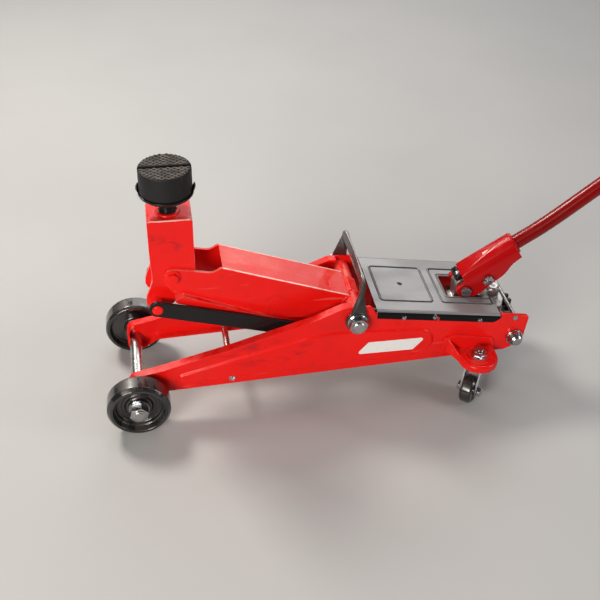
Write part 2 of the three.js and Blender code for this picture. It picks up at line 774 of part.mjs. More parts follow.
function powerUnitBlock() {
  const base = join(box(500, 548, -32, 32, 74, 120), box(547, 568, -32, 32, 74, 108));
  const housing = rodZ(14, 100, PUMP_TOP, PLUNGER_X, 0, 18);
  const plug = join(rodZ(10.3, 100, 134, 542, 0, 18), rodZ(8, 133, 136, 542, 0, 18));
  const valveBoss = rodX(8, VALVE.x0, VALVE.x0 + 12, VALVE.y, VALVE.z);
  const studs = SIDES.map(([, s]) => rodY(REAR_STUD.r, s * 30, s * (WEB_Y + 10), REAR_STUD.x, REAR_STUD.z));
  const ear = extrudeY(bar({ x: P.x + 1, z: 112 }, P, 12.5, 11.5), -11, 11, 6);
  const foot = box(478, 506, -32, 32, 80, 118);
  const neck = rodX(26, 470, 500, 0, RAM.z, 16);
  const bores = [
    rodZ(6 + GAP, 92, 160, PLUNGER_X, 0),
    rodY(6 + GAP, -30, 30, P.x, P.z),
    rodX(5 + GAP, VALVE.x0 - 10, VALVE.x0 + 30, VALVE.y, VALVE.z),
    rodX(RAM.boreR, 440, 490, 0, RAM.z, 16),
    rodX(RAM.tubeR + GAP, 440, 486, 0, RAM.z, 16),
  ];
  return cut(join(base, housing, plug, valveBoss, ear, foot, neck, ...studs), ...bores);
}

function cylinderTube() {
  return cut(rodX(RAM.tubeR, 372, 485.4, 0, RAM.z, 16), rodX(RAM.boreR, 360, 500, 0, RAM.z, 16));
}

function cylinderGland() {
  const cap = join(rodX(25, 360, 371.7, 0, RAM.z, 16), rodX(RAM.boreR - GAP, 371, 384, 0, RAM.z, 16));
  return cut(cap, rodX(RAM.r + GAP, 350, 400, 0, RAM.z, 16));
}

function ram() {
  const face = crankPin.x + CRANK_PIN_R + 1;
  const rod = rodX(RAM.r, face + 8, 466, 0, RAM.z, 16);
  const head = box(face, face + 9, -8, 8, RAM.z - 12, RAM.z + 12);
  const piston = rodX(RAM.boreR - GAP, 451, 466, 0, RAM.z, 16);
  return join(rod, head, piston);
}

function crankPinBody() {
  return rodY(CRANK_PIN_R, -18, 18, crankPin.x, crankPin.z);
}

function pumpPlunger() {
  const profile = [
    [0, PLUNGER_HEAD_Z - 42],
    [6, PLUNGER_HEAD_Z - 42],
    [6, PLUNGER_HEAD_Z],
    [12, PLUNGER_HEAD_Z],
    [13, PLUNGER_HEAD_Z + 2],
    [12, PLUNGER_HEAD_Z + 4.5],
    [0, PLUNGER_HEAD_Z + 5.5],
  ];
  return turnedZ(profile, PLUNGER_X, 0, 14);
}

class Helix extends THREE.Curve {
  constructor(radius, z0, z1, turns) {
    super();
    Object.assign(this, { radius, z0, z1, turns });
  }
  getPoint(t) {
    const angle = t * this.turns * 2 * Math.PI;
    const { radius, z0, z1 } = this;
    return new THREE.Vector3(radius * Math.cos(angle), radius * Math.sin(angle), z0 + (z1 - z0) * t);
  }
}

function pumpSpring() {
  const wireR = 0.8;
  const wire = new THREE.Shape().absarc(0, 0, wireR, 0, 2 * Math.PI);
  const clear = wireR + GAP;
  const path = new Helix(9.2, PUMP_TOP + clear, PLUNGER_HEAD_Z - clear, 3.5);
  const geometry = new THREE.ExtrudeGeometry(wire, { steps: 42, extrudePath: path, curveSegments: 2 });
  return solid(geometry.translate(PLUNGER_X, 0, 0));
}

function releaseValve() {
  const { x0, y, z } = VALVE;
  const stem = rodX(5, x0 - 9, x0 + 14, y, z);
  const head = rodX(7, x0 + 12 + GAP, x0 + 20, y, z);
  const key = box(x0 + 19, x0 + 26, y - 2, y + 2, z - 6, z + 6);
  return join(stem, head, key);
}

function rearNut(side) {
  const profile = [
    [REAR_STUD.r + GAP, WEB_Y + GAP],
    [13, WEB_Y + GAP],
    [13, WEB_Y + 3],
    [11.5, WEB_Y + 4],
    [11.5, WEB_Y + 8],
    [8.5, WEB_Y + 12.5],
    [3, WEB_Y + 15],
    [0, WEB_Y + 15],
    [0, WEB_Y + 11],
    [REAR_STUD.r + GAP, WEB_Y + 11],
  ];
  const placed = profile.map(([r, s]) => [r, side * s]);
  if (side < 0) placed.reverse();
  placed.push(placed[0]);
  return turnedY(placed, REAR_STUD.x, REAR_STUD.z, 14);
}

// ---------------------------------------------------------------- handle
const socketAxis = { x: Math.cos(SOCKET_TILT * DEG), z: Math.sin(SOCKET_TILT * DEG) };
const onAxis = (s) => ({ x: MOUTH.x + socketAxis.x * s, z: MOUTH.z + socketAxis.z * s });

// A cylinder along the socket's axis, from s0 to s1 measured from the mouth
function rodAlongSocket(r, s0, s1, segments = 24) {
  const geometry = new THREE.CylinderGeometry(r, r, s1 - s0, segments).rotateZ(-Math.PI / 2);
  geometry.translate((s0 + s1) / 2, 0, 0).rotateY(-SOCKET_TILT * DEG);
  return solid(geometry.translate(MOUTH.x, 0, MOUTH.z));
}

// A forked casting: an arched body along the socket's axis whose cheeks reach down to the pivot and the roller
function handleSocket() {
  const place = ([s, up, r]) => {
    const p = onAxis(s);
    return [p.x - socketAxis.z * up, p.z + socketAxis.x * up, r];
  };
  const side = [
    [-3, 17.5],
    [-65, 14.5, 20],
    [-92, 9, 8],
    [-107, 1, 10],
    [-112, -12, 8],
    [-107, -25, 10],
    [-84, -34, 12],
    [-60, -27.5, 10],
    [-38, -26, 10],
    [-20, -15, 8],
    [-3, -13],
  ];
  const arch = outline([
    [-22, -60],
    [-22, -3, 8],
    [-15, 13, 10],
    [0, 17.8, 12],
    [15, 13, 10],
    [22, -3, 8],
    [22, -60],
  ]);
  const along = new THREE.ExtrudeGeometry(arch, { depth: 120, bevelEnabled: false, curveSegments: 3 });
  along.rotateX(Math.PI / 2).rotateZ(Math.PI / 2).translate(-120, 0, 0);
  along.rotateY(-SOCKET_TILT * DEG).translate(MOUTH.x, 0, MOUTH.z);
  const body = extrudeY(outline(side.map(place)), -22, 22, 3).intersect(solid(along));
  const inside = [
    [-52, 9, 4],
    [-90, 3, 6],
    [-130, -8],
    [-130, -60],
    [-20, -60],
    [-46, -14, 6],
  ];
  const hollow = extrudeY(outline(inside.map(place)), -15, 15);
  const tube = rodAlongSocket(16, -50, 0, 24);
  const bore = rodAlongSocket(HANDLE_R + GAP, -44, 10, 18);
  const pins = [
    rodY(6 + GAP, -40, 40, P.x, P.z),
    rodY(5 + GAP, -40, 40, ROLLER.x, ROLLER.z),
  ];
  return cut(join(cut(body, hollow), tube), bore, ...pins);
}

function socketPivotPin() {
  const head = hexY(14, -29, -22.3, P.x, P.z, 0.2);
  const nut = hexY(14, 22.3, 29, P.x, P.z, 0.4);
  return join(rodY(6, -25, 31, P.x, P.z), head, nut);
}

function socketRoller() {
  const pin = rodY(5, -26, 26, ROLLER.x, ROLLER.z);
  const heads = [-1, 1].map((s) => rodY(8, s * 22.3, s * 26, ROLLER.x, ROLLER.z, 16));
  return join(pin, rodY(ROLLER.r, -14, 14, ROLLER.x, ROLLER.z, 16), ...heads);
}

// The handle's middle line: straight in the socket, bent just outside it, then straight again
function handlePath(from, to) {
  const bendStart = 18;
  const bendLength = 60;
  const step = (s0, s1, angle, start) => ({
    x: start.x + (s1 - s0) * Math.cos(angle * DEG),
    z: start.z + (s1 - s0) * Math.sin(angle * DEG),
  });
  const pointAt = (s) => {
    if (s <= bendStart) return onAxis(s);
    let p = onAxis(bendStart);
    const pieces = 6;
    const reach = Math.min(s, bendStart + bendLength) - bendStart;
    for (let i = 0; i < pieces; i++) {
      const a = SOCKET_TILT + HANDLE_BEND * ((i + 0.5) / pieces) * (reach / bendLength);
      p = step(0, reach / pieces, a, p);
    }
    const rest = s - bendStart - bendLength;
    return rest > 0 ? step(0, rest, SOCKET_TILT + HANDLE_BEND, p) : p;
  };
  const stations = [from];
  for (let i = 0; i <= 6; i++) {
    const s = bendStart + (bendLength * i) / 6;
    if (s > from && s < to) stations.push(s);
  }
  stations.push(to);
  return stations.map(pointAt);
}

function tubeAlong(points, outerR, innerR, segments = 12) {
  const ring = (r) =>
    Array.from({ length: segments }, (_, i) => [
      r * Math.cos((2 * Math.PI * i) / segments),
      r * Math.sin((2 * Math.PI * i) / segments),
    ]);
  const frames = points.map((p, i) => {
    const before = points[Math.max(0, i - 1)];
    const after = points[Math.min(points.length - 1, i + 1)];
    const angle = Math.atan2(after.z - before.z, after.x - before.x);
    return ([a, b]) => [p.x - Math.sin(angle) * a, b, p.z + Math.cos(angle) * a];
  });
  const shell = (r) => frames.map((place) => ring(r).map(place));
  const outer = shell(outerR);
  const inner = shell(innerR);
  const positions = [];
  const quad = (a, b, c, d) => [a, c, b, a, d, c].forEach((v) => positions.push(...v));
  for (let k = 0; k < segments; k++) {
    const n = (k + 1) % segments;
    for (let i = 0; i + 1 < points.length; i++) {
      quad(outer[i][k], outer[i][n], outer[i + 1][n], outer[i + 1][k]);
      quad(inner[i][n], inner[i][k], inner[i + 1][k], inner[i + 1][n]);
    }
    const end = points.length - 1;
    quad(outer[0][n], outer[0][k], inner[0][k], inner[0][n]);
    quad(outer[end][k], outer[end][n], inner[end][n], inner[end][k]);
  }
  const geometry = new THREE.BufferGeometry();
  geometry.setAttribute("position", new THREE.Float32BufferAttribute(positions, 3));
  return solid(geometry);
}

function handleLower() {
  return tubeAlong(handlePath(-42, HANDLE_LOWER), HANDLE_R, HANDLE_BORE_R);
}

function handleUpper() {
  const path = handlePath(HANDLE_LOWER - 40, HANDLE_LOWER + HANDLE_UPPER);
  return tubeAlong(path, HANDLE_R + 2.3, HANDLE_R + GAP);
}

function handleGrip() {
  const end = HANDLE_LOWER + HANDLE_UPPER;
  return tubeAlong(handlePath(end - GRIP_LENGTH, end + 3), HANDLE_R + 6, HANDLE_R + 2.3 + GAP, 24);
}

// ---------------------------------------------------------------- assembly
for (const [name, side] of SIDES) {
  add(`side_plate_${name}`, sidePlate(side), RED);
  add(`axle_washer_${name}`, ringY(AXLE_THREAD_R + GAP, 15, side * 96.3, side * 98.8, 0, WHEEL_R), ZINC);
  add(`axle_nut_${name}`, nutY(24, AXLE_THREAD_R + GAP, side * 99.1, side * 112.5, 0, WHEEL_R, 0.25), ZINC);
  add(`front_wheel_${name}`, frontWheel(side), TYRE);
  add(`pivot_nut_${name}`, nutY(24, SHAFT_R + GAP - 2, side * (SHAFT_SHOULDER + GAP), side * 83.5, A.x, A.z, 0.5), ZINC);
  add(`rear_nut_${name}`, rearNut(side), ZINC);
  add(`link_rear_pin_${name}`, linkRearPin(side), ZINC);
  add(`caster_bracket_${name}`, casterBracket(side), RED);
  add(`caster_king_nut_${name}`, kingNut(side), ZINC);
  const caster = casterGroup(side);
  add(`caster_fork_${name}`, casterFork(), ZINC, caster);
  add(`caster_wheel_${name}`, casterWheel(), TYRE, caster);
  add(`caster_axle_${name}`, casterAxle(), ZINC, caster);
  add(`front_pivot_bolt_${name}`, frontPivotBolt(side), RED);
  add(`link_front_pin_${name}`, linkFrontPin(side), RED);
  add(`level_link_${name}`, levelLink(side), BLACK);
  SCREW_XS.forEach((x, i) => add(`cover_screw_${name}_${i + 1}`, coverScrew(x, side), ZINC));
}
add("cover_plate", coverPlate(), GREY);
add("front_axle", frontAxle(), ZINC);
add("front_tie_rod", frontTieRod(), ZINC);
add("rear_rod", rodY(REAR_ROD.r, -WEB_Y, WEB_Y, REAR_ROD.x, REAR_ROD.z, 12), ZINC);
add("arm_pivot_shaft", armPivotShaft(), ZINC);
add("carry_handle", carryHandle(), GREY);
add("power_unit_block", powerUnitBlock(), CAST);
add("cylinder_tube", cylinderTube(), CAST);
add("cylinder_gland", cylinderGland(), ZINC);
add("ram", ram(), ZINC);
add("lift_arm", liftArm(), RED);
add("crank_pin", crankPinBody(), ZINC);
add("saddle_column", saddleColumn(), RED);
add("extension_screw", extensionScrew(), BLACK);
add("saddle_cup", saddleCup(), BLACK);
add("rubber_pad", rubberPad(), RUBBER);
add("pump_plunger", pumpPlunger(), ZINC);
add("pump_spring", pumpSpring(), ZINC);
add("release_valve", releaseValve(), BLACK);
add("handle_socket", handleSocket(), RED);
add("socket_pivot_pin", socketPivotPin(), ZINC);
add("socket_roller", socketRoller(), ZINC);
add("handle_lower", handleLower(), RED);
add("handle_upper", handleUpper(), RED);
add("handle_grip", handleGrip(), BLACK);

// The origin goes to the middle of the bottom of the whole jack
jack.updateMatrixWorld(true);
const extent = new THREE.Box3().setFromObject(jack, true);
jack.position.set(-(extent.min.x + extent.max.x) / 2, -(extent.min.y + extent.max.y) / 2, -extent.min.z);

export default jack;
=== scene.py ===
"""The looks of the trolley jack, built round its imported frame.

Every piece is drawn in the chassis frame, in millimetres: zero is on the floor straight under the front axle,
+X goes back to the handle, +Z up, and the left side, which the camera sees, has negative y.
"""
import json
import math

import bmesh
import bpy
from mathutils import Matrix, Vector


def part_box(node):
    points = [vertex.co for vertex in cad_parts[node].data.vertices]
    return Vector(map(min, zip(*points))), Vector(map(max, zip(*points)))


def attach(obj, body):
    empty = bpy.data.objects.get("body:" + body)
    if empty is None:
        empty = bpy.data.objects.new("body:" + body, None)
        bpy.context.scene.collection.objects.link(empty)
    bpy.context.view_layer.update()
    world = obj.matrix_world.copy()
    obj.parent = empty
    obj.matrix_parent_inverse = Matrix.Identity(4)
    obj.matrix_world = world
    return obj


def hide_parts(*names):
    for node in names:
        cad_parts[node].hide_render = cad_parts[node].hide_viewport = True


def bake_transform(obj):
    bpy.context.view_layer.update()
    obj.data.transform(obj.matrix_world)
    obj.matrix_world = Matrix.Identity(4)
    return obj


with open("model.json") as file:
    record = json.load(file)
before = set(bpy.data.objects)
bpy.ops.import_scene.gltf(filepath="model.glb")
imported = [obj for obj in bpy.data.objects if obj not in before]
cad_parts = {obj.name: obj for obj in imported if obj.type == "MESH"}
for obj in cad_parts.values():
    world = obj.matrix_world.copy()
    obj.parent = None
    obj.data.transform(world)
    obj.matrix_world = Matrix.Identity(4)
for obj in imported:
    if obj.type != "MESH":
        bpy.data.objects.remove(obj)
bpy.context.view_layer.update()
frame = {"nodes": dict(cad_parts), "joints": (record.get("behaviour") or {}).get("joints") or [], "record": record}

MM = 0.001
SIDES = (("left", -1), ("right", 1))
AXLE_MIDDLE = sum(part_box("front_axle"), Vector()) / 2
ZERO = Vector((AXLE_MIDDLE.x, AXLE_MIDDLE.y, 0))


# ------------------------------------------------------------------ places read from the frame
def span(node):
    """(lowest, highest) corner of a CAD node in the chassis frame, in millimetres."""
    low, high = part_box(node)
    return (low - ZERO) / MM, (high - ZERO) / MM


def middle(node):
    low, high = span(node)
    return (low + high) / 2


WHEEL_R = middle("front_axle").z
ARM_PIVOT = middle("arm_pivot_shaft")
FRONT_PIVOT = middle("front_pivot_bolt_left")
LINK_FRONT = middle("link_front_pin_left")
LINK_REAR = middle("link_rear_pin_left")
SOCKET_PIVOT = middle("socket_pivot_pin")
ROLLER = middle("socket_roller")
SCREW_AXIS = middle("extension_screw")
PLUNGER = middle("pump_plunger")
COLUMN_MIDDLE = middle("saddle_column")
COVER_LOW, COVER_HIGH = span("cover_plate")
COVER_SLOPE = 0.15
COVER_HALF = COVER_HIGH.y
SHEET = 3.5
WEB_Y = span("rear_rod")[1].y
PLATE_LOW, PLATE_HIGH = span("side_plate_left")
SOCKET_TILT = math.radians(34)
# Places on the cover, from the front axle back and from the middle plane out
COVER_HOLE_X = 394
NOTCH_X = 434, 437.5
OPENING_X, OPENING_HALF = 460.6, 26
BEAD_HALF = 44
STUD_X = 430.5
# The big nuts on the front axle and the arm's pivot, across flats and turned by radians
NUT_FLATS, NUT_TURN = 24, 0.25
CHAMFER_SLOPE = 0.577
TIP_CHAMFER = 1.2
SLOT_NUT_TURN = 0.2
PIN_WIRE = 0.9
# The carry handle's strap: how far from its eye's middle a leg starts, and the radius of the bends
STRAP_FOOT, STRAP_BEND = 9, 9
BRACKET_TOP, BRACKET_R = 78, 29
# Where the heads and nuts on the socket's pins start, just clear of its cheeks
PIN_HEAD_Y = 22.3
# Distances along the handle from the socket's mouth
LOWER_TUBE_END, UPPER_TUBE_END = 470, 900


def out_from_middle(node):
    """How far from the middle plane a node on one side starts and ends."""
    low, high = span(node)
    return sorted((abs(low.y), abs(high.y)))


def at_middle(point):
    """A point moved to the middle plane."""
    return Vector((point.x, 0, point.z))


def cover_top(x):
    return COVER_HIGH.z - COVER_SLOPE * (x - COVER_LOW.x)


# ------------------------------------------------------------------ mesh building
def add_object(name, data):
    piece = bpy.data.objects.new(name, data)
    bpy.context.scene.collection.objects.link(piece)
    return piece


def mesh_piece(name, verts, faces, smooth=35):
    """An object from points in chassis millimetres, smooth across edges flatter than `smooth` degrees."""
    mesh = bpy.data.meshes.new(name)
    mesh.from_pydata([ZERO + Vector(v) * MM for v in verts], [], faces)
    work = bmesh.new()
    work.from_mesh(mesh)
    bmesh.ops.remove_doubles(work, verts=work.verts, dist=0.00001)
    bmesh.ops.recalc_face_normals(work, faces=work.faces)
    work.to_mesh(mesh)
    work.free()
    piece = add_object(name, mesh)
    soften(piece, smooth)
    return piece


def soften(piece, angle=35):
    piece.data.shade_smooth()
    piece.data.set_sharp_from_angle(angle=math.radians(angle))
    return piece


def rounded(points, steps=8):
    """An outline whose corners (u, v, radius) are true arcs."""
    path = []
    count = len(points)
    for i, corner in enumerate(points):
        here = Vector(corner[:2])
        radius = corner[2] if len(corner) > 2 else 0
        if not radius:
            path.append(here)
            continue
        before = (Vector(points[i - 1][:2]) - here)
        after = (Vector(points[(i + 1) % count][:2]) - here)
        half = before.angle(after) / 2
        reach = min(radius / math.tan(half), before.length * 0.49, after.length * 0.49)
        start, end = here + before.normalized() * reach, here + after.normalized() * reach
        radius = reach * math.tan(half)
        centre = here + (before.normalized() + after.normalized()).normalized() * radius / math.sin(half)
        a0 = math.atan2(*(start - centre).yx)
        turn = math.atan2(*(end - centre).yx) - a0
        turn = (turn + math.pi) % (2 * math.pi) - math.pi
        for k in range(steps + 1):
            a = a0 + turn * k / steps
            path.append(centre + Vector((math.cos(a), math.sin(a))) * radius)
    return path


def turn_angles(steps):
    return [2 * math.pi * k / steps for k in range(steps)]


def circle(u, v, radius, steps=48):
    return [Vector((u + radius * math.cos(a), v + radius * math.sin(a))) for a in turn_angles(steps)]


def arc(centre, radius, angles):
    return [centre + Vector((math.cos(a), math.sin(a))) * radius for a in angles]


def ring_round(centre, first, second, steps):
    """Points on the circle or oval that two half-axes span."""
    return [centre + first * math.cos(a) + second * math.sin(a) for a in turn_angles(steps)]


LAY = {
    "X": lambda u, v, s: (s, u, v),
    "Y": lambda u, v, s: (u, s, v),
    "Z": lambda u, v, s: (u, v, s),
}


def prism(name, path, axis, low, high, round_face=None, round_by=0, segments=5):
    """An outline made solid along an axis. The rim of its face at `round_face` can be rounded over."""
    lay = LAY[axis]
    n = len(path)
    verts = [lay(p[0], p[1], low) for p in path] + [lay(p[0], p[1], high) for p in path]
    faces = [list(range(n)), [n + k for k in reversed(range(n))]]
    faces += [[k, n + k, n + (k + 1) % n, (k + 1) % n] for k in range(n)]
    piece = mesh_piece(name, verts, faces)
    if round_face is not None:
        index = "XYZ".index(axis)
        level = (ZERO + Vector(lay(0, 0, round_face)) * MM)[index]
        work = bmesh.new()
        work.from_mesh(piece.data)
        rim = [e for e in work.edges if all(abs(v.co[index] - level) < 1e-6 for v in e.verts)]
        bmesh.ops.bevel(work, geom=rim, offset=round_by * MM, segments=segments, profile=0.5,
                        affect="EDGES", clamp_overlap=True)
        work.to_mesh(piece.data)
        work.free()
        soften(piece)
    return piece


def lathe(name, profile, axis, centre, steps=96, closed=False, smooth=30):
    """A turned piece from (radius, station) pairs, round an axis through `centre`: X, Y, Z or a vector."""
    direction = Vector([float(letter == axis) for letter in "XYZ"]) if isinstance(axis, str) else axis
    turn = Vector((0, 0, 1)).rotation_difference(direction).to_matrix()
    base = Vector(centre)
    verts, rings = [], []
    for radius, station in profile:
        if radius < 1e-6:
            rings.append([len(verts)])
            verts.append(base + turn @ Vector((0, 0, station)))
            continue
        rings.append(list(range(len(verts), len(verts) + steps)))
        verts += [base + turn @ Vector((radius * math.cos(a), radius * math.sin(a), station))
                  for a in turn_angles(steps)]
    faces = []
    pairs = list(zip(rings, rings[1:])) + ([(rings[-1], rings[0])] if closed else [])
    for a, b in pairs:
        for k in range(steps):
            n = (k + 1) % steps
            face = [a[k % len(a)], a[n % len(a)], b[n % len(b)], b[k % len(b)]]
            face = list(dict.fromkeys(face))
            if len(face) > 2:
                faces.append(face)
    return mesh_piece(name, verts, faces, smooth)


def rounded_profile(points, steps=4):
    """Rounds the inner corners of an open (radius, station, corner radius) profile."""
    first, last = Vector(points[0][:2]), Vector(points[-1][:2])
    inner = [p if 0 < i < len(points) - 1 else p[:2] for i, p in enumerate(points)]
    path = rounded(inner, steps)
    path[0], path[-1] = first, last
    return [tuple(p) for p in path]


def sweep(name, rings, smooth=40):
    """A closed body through rows of points, capped at both ends."""
    n = len(rings[0])
    verts = [v for ring in rings for v in ring]
    faces = [[i * n + k, i * n + (k + 1) % n, (i + 1) * n + (k + 1) % n, (i + 1) * n + k]
             for i in range(len(rings) - 1) for k in range(n)]
    faces += [list(range(n)), [(len(rings) - 1) * n + k for k in reversed(range(n))]]
    return mesh_piece(name, verts, faces, smooth)


def settle(piece):
    """Applies a piece's modifiers to its mesh."""
    bpy.context.view_layer.update()
    made = piece.evaluated_get(bpy.context.evaluated_depsgraph_get())
    mesh = bpy.data.meshes.new_from_object(made)
    piece.modifiers.clear()
    piece.data = mesh
    return piece


def combine(piece, tools, operation):
    for tool in tools:
        modifier = piece.modifiers.new("combine", "BOOLEAN")
        modifier.operation = operation
        modifier.solver = "EXACT"
        modifier.object = tool
    settle(piece)
    for tool in tools:
        bpy.data.objects.remove(tool)
    return soften(piece)


def cut(piece, *tools):
    return combine(piece, tools, "DIFFERENCE")


def gather(name, parts):
    """One object from several, each still its own closed shell."""
    work = bmesh.new()
    for part in parts:
        work.from_mesh(part.data)
    mesh = bpy.data.meshes.new(name)
    work.to_mesh(mesh)
    work.free()
    piece = add_object(name, mesh)
    for part in parts:
        bpy.data.objects.remove(part)
    return soften(piece)


def ease_edges(piece, width=0.5, segments=3, angle=40, worn_highlight=False):
    """Rounds a piece's sharp edges by `width` millimetres. With `worn_highlight`, the new edge faces take the
    finish's second material, a painted highlight and worn paint.
    """
    modifier = piece.modifiers.new("edges", "BEVEL")
    # The second material is a painted highlight, with wear, on the rounded edge.
    modifier.material = 1 if worn_highlight else -1
    modifier.width = width * MM
    modifier.segments = segments
    modifier.limit_method = "ANGLE"
    modifier.angle_limit = math.radians(angle)
    modifier.harden_normals = True
    return piece


def fold_top_edges(piece, radius, shortest=100, segments=5):
    """Rounds the highest long edges where a top meets an upright side, and gives them the second material: a
    painted highlight and worn paint.
    """
    work = bmesh.new()
    work.from_mesh(piece.data)
    folds = []
    for edge in work.edges:
        normals = [face.normal for face in edge.link_faces]
        meets = max(n.z for n in normals) > 0.8 and max(abs(n.y) for n in normals) > 0.8
        if meets and edge.calc_length() > shortest * MM:
            folds.append(edge)
    heights = [sum(vertex.co.z for vertex in edge.verts) / 2 for edge in folds]
    folds = [edge for edge, height in zip(folds, heights) if height > max(heights) - 10 * MM]
    # material=1 gives the rounded folds the painted edge highlight, with wear.
    bmesh.ops.bevel(work, geom=folds, offset=radius * MM, offset_type="OFFSET", segments=segments,
                    profile=0.5, affect="EDGES", material=1)
    work.to_mesh(piece.data)
    work.free()
    return piece


def copy_of(node, name):
    """A CAD node's shape with its flat faces made whole, ready for rounding."""
    mesh = frame["nodes"][node].data.copy()
    piece = add_object(name, mesh)
    work = bmesh.new()
    work.from_mesh(mesh)
    bmesh.ops.remove_doubles(work, verts=work.verts, dist=0.00002)
    bmesh.ops.dissolve_limit(work, angle_limit=math.radians(1), verts=work.verts, edges=work.edges)
    work.to_mesh(mesh)
    work.free()
    return soften(piece)


def even_shading(piece):
    """Large flat faces keep flat shading next to their rounded edges."""
    modifier = piece.modifiers.new("shading", "WEIGHTED_NORMAL")
    modifier.keep_sharp = True
    modifier.weight = 60


def dress(piece, material, *nodes):
    """Gives a piece its material, and hides the CAD nodes it stands for."""
    look, slot = material[:2]
    indices = [face.material_index for face in piece.data.polygons]
    piece.data.materials.clear()
    piece.data.materials.append(look)
    if len(material) > 2:
        piece.data.materials.append(material[2])
        piece.data.polygons.foreach_set("material_index", indices)
    even_shading(piece)
    if nodes:
        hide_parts(*nodes)
    return piece


def put(piece, material, body, *nodes):
    """Dresses a piece and makes it move with its body."""
    dress(piece, material, *nodes)
    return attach(piece, body)


def offset(path, distance):
    """A closed outline moved inwards by `distance`, with its corners mitred."""
    area = sum(a.x * b.y - b.x * a.y for a, b in zip(path, path[1:] + path[:1]))
    turn = 1 if area > 0 else -1
    moved = []
    for i, here in enumerate(path):
        first = (here - path[i - 1]).normalized()
        second = (path[(i + 1) % len(path)] - here).normalized()
        n1, n2 = Vector((-first.y, first.x)) * turn, Vector((-second.y, second.x)) * turn
        middle_way = (n1 + n2).normalized()
        moved.append(here + middle_way * distance / max(0.3, middle_way.dot(n1)))
    return moved


def stack(name, path, axis, levels, capped=True, smooth=50):
    """A body from copies of one outline: levels are (inset, station) pairs from first rim to last."""
    lay = LAY[axis]
    rings = [[lay(p.x, p.y, station) for p in (offset(path, inset) if inset else path)]
             for inset, station in levels]
    if capped:
        return sweep(name, rings, smooth)
    n = len(path)
    verts = [v for ring in rings for v in ring]
    count = len(rings)
    faces = [[i * n + k, i * n + (k + 1) % n, (i + 1) % count * n + (k + 1) % n, (i + 1) % count * n + k]
             for i in range(count) for k in range(n)]
    return mesh_piece(name, verts, faces, smooth)


def pressing(name, path, axis, base, height, slope, sunk=1.0):
    """A raised panel of sheet, whose rim climbs from `base` by `height` over `slope` in a soft S curve."""
    levels = [(0, base - math.copysign(sunk, height))]
    for k in range(9):
        t = k / 8
        levels.append((slope * t, base + height * (3 * t * t - 2 * t ** 3)))
    return stack(name, path, axis, levels)


def bead(name, path, axis, base, height, width, sunk=0.6):
    """A narrow rounded ridge pressed along a closed outline."""
    levels = [(0, base - sunk)]
    levels += [(width * k / 10, base + height * math.sin(math.pi * k / 10) ** 2) for k in range(11)]
    levels += [(width, base - sunk)]
    return stack(name, path, axis, levels, capped=False)


def warp(piece, move):
    """Moves every point of a piece by a function of its place in the chassis frame."""
    for vertex in piece.data.vertices:
        vertex.co = ZERO + move((vertex.co - ZERO) / MM) * MM
    return soften(piece)


def lean_with_cover(piece):
    """Lifts a piece drawn about z = 0 on to the cover's slope."""
    return warp(piece, lambda p: Vector((p.x, p.y, p.z + cover_top(p.x))))


def rectangle(u0, u1, v0, v1, radius, steps=6):
    return rounded([(u0, v0, radius), (u1, v0, radius), (u1, v1, radius), (u0, v1, radius)], steps)


def joint_place(name):
    joint = next(j for j in frame["joints"] if j["name"] == name)
    return (Vector(joint["pos_m"]) - ZERO) / MM, Vector(joint["axis"])


def side_axis(side):
    """Turned pieces on either side are drawn outwards from the middle plane."""
    return Vector((0, side, 0))


def bar(radius, half, centre, steps=64):
    """A plain round bar across the chassis."""
    return lathe("bar", [(0, -half), (radius, -half), (radius, half), (0, half)], "Y", centre, steps)


def hexagon(u, v, across_flats, turn=0.0):
    corner = across_flats / math.sqrt(3)
    return arc(Vector((u, v)), corner, [turn + k * math.pi / 3 for k in range(6)])


def hex_head(name, across_flats, low, high, axis, u, v, turn=0.0, both_ends=True):
    """A hexagon with its corners turned off, between stations `low` and `high` (`high` is the outer face)."""
    flat, corner = across_flats * 0.485, across_flats * 0.62
    drop = math.copysign((corner - flat) * CHAMFER_SLOPE, high - low)
    prism_part = prism(name, hexagon(u, v, across_flats, turn), axis, low, high)
    inner = [(0, low), (flat, low), (corner, low + drop)] if both_ends else [(0, low), (corner, low)]
    centre = {"X": (0, u, v), "Y": (u, 0, v), "Z": (u, v, 0)}[axis]
    tool = lathe("tool", inner + [(corner, high - drop), (flat, high), (0, high)], axis, centre, 48)
    return combine(prism_part, [tool], "INTERSECT")


def thread(name, radius, pitch, low, high, axis, centre, depth=0.6):
    """A bolt's end: fine thread rings and a chamfered tip at `high`."""
    step = math.copysign(pitch / 2, high - low)
    count = int(abs(high - low) / abs(step)) - 1
    profile = [(0, low), (radius, low)]
    profile += [(radius - (depth if k % 2 else 0), low + step * k) for k in range(1, count)]
    tip = math.copysign(TIP_CHAMFER, high - low)
    profile += [(radius, high - tip), (radius - TIP_CHAMFER, high), (0, high)]
    return lathe(name, profile, axis, centre, 40, smooth=50)


def stand_in(node, material, body, *parts):
    """Gathers parts into the piece that replaces one CAD node, and is named after it."""
    return put(gather(node + "_look", parts), material, body, node)


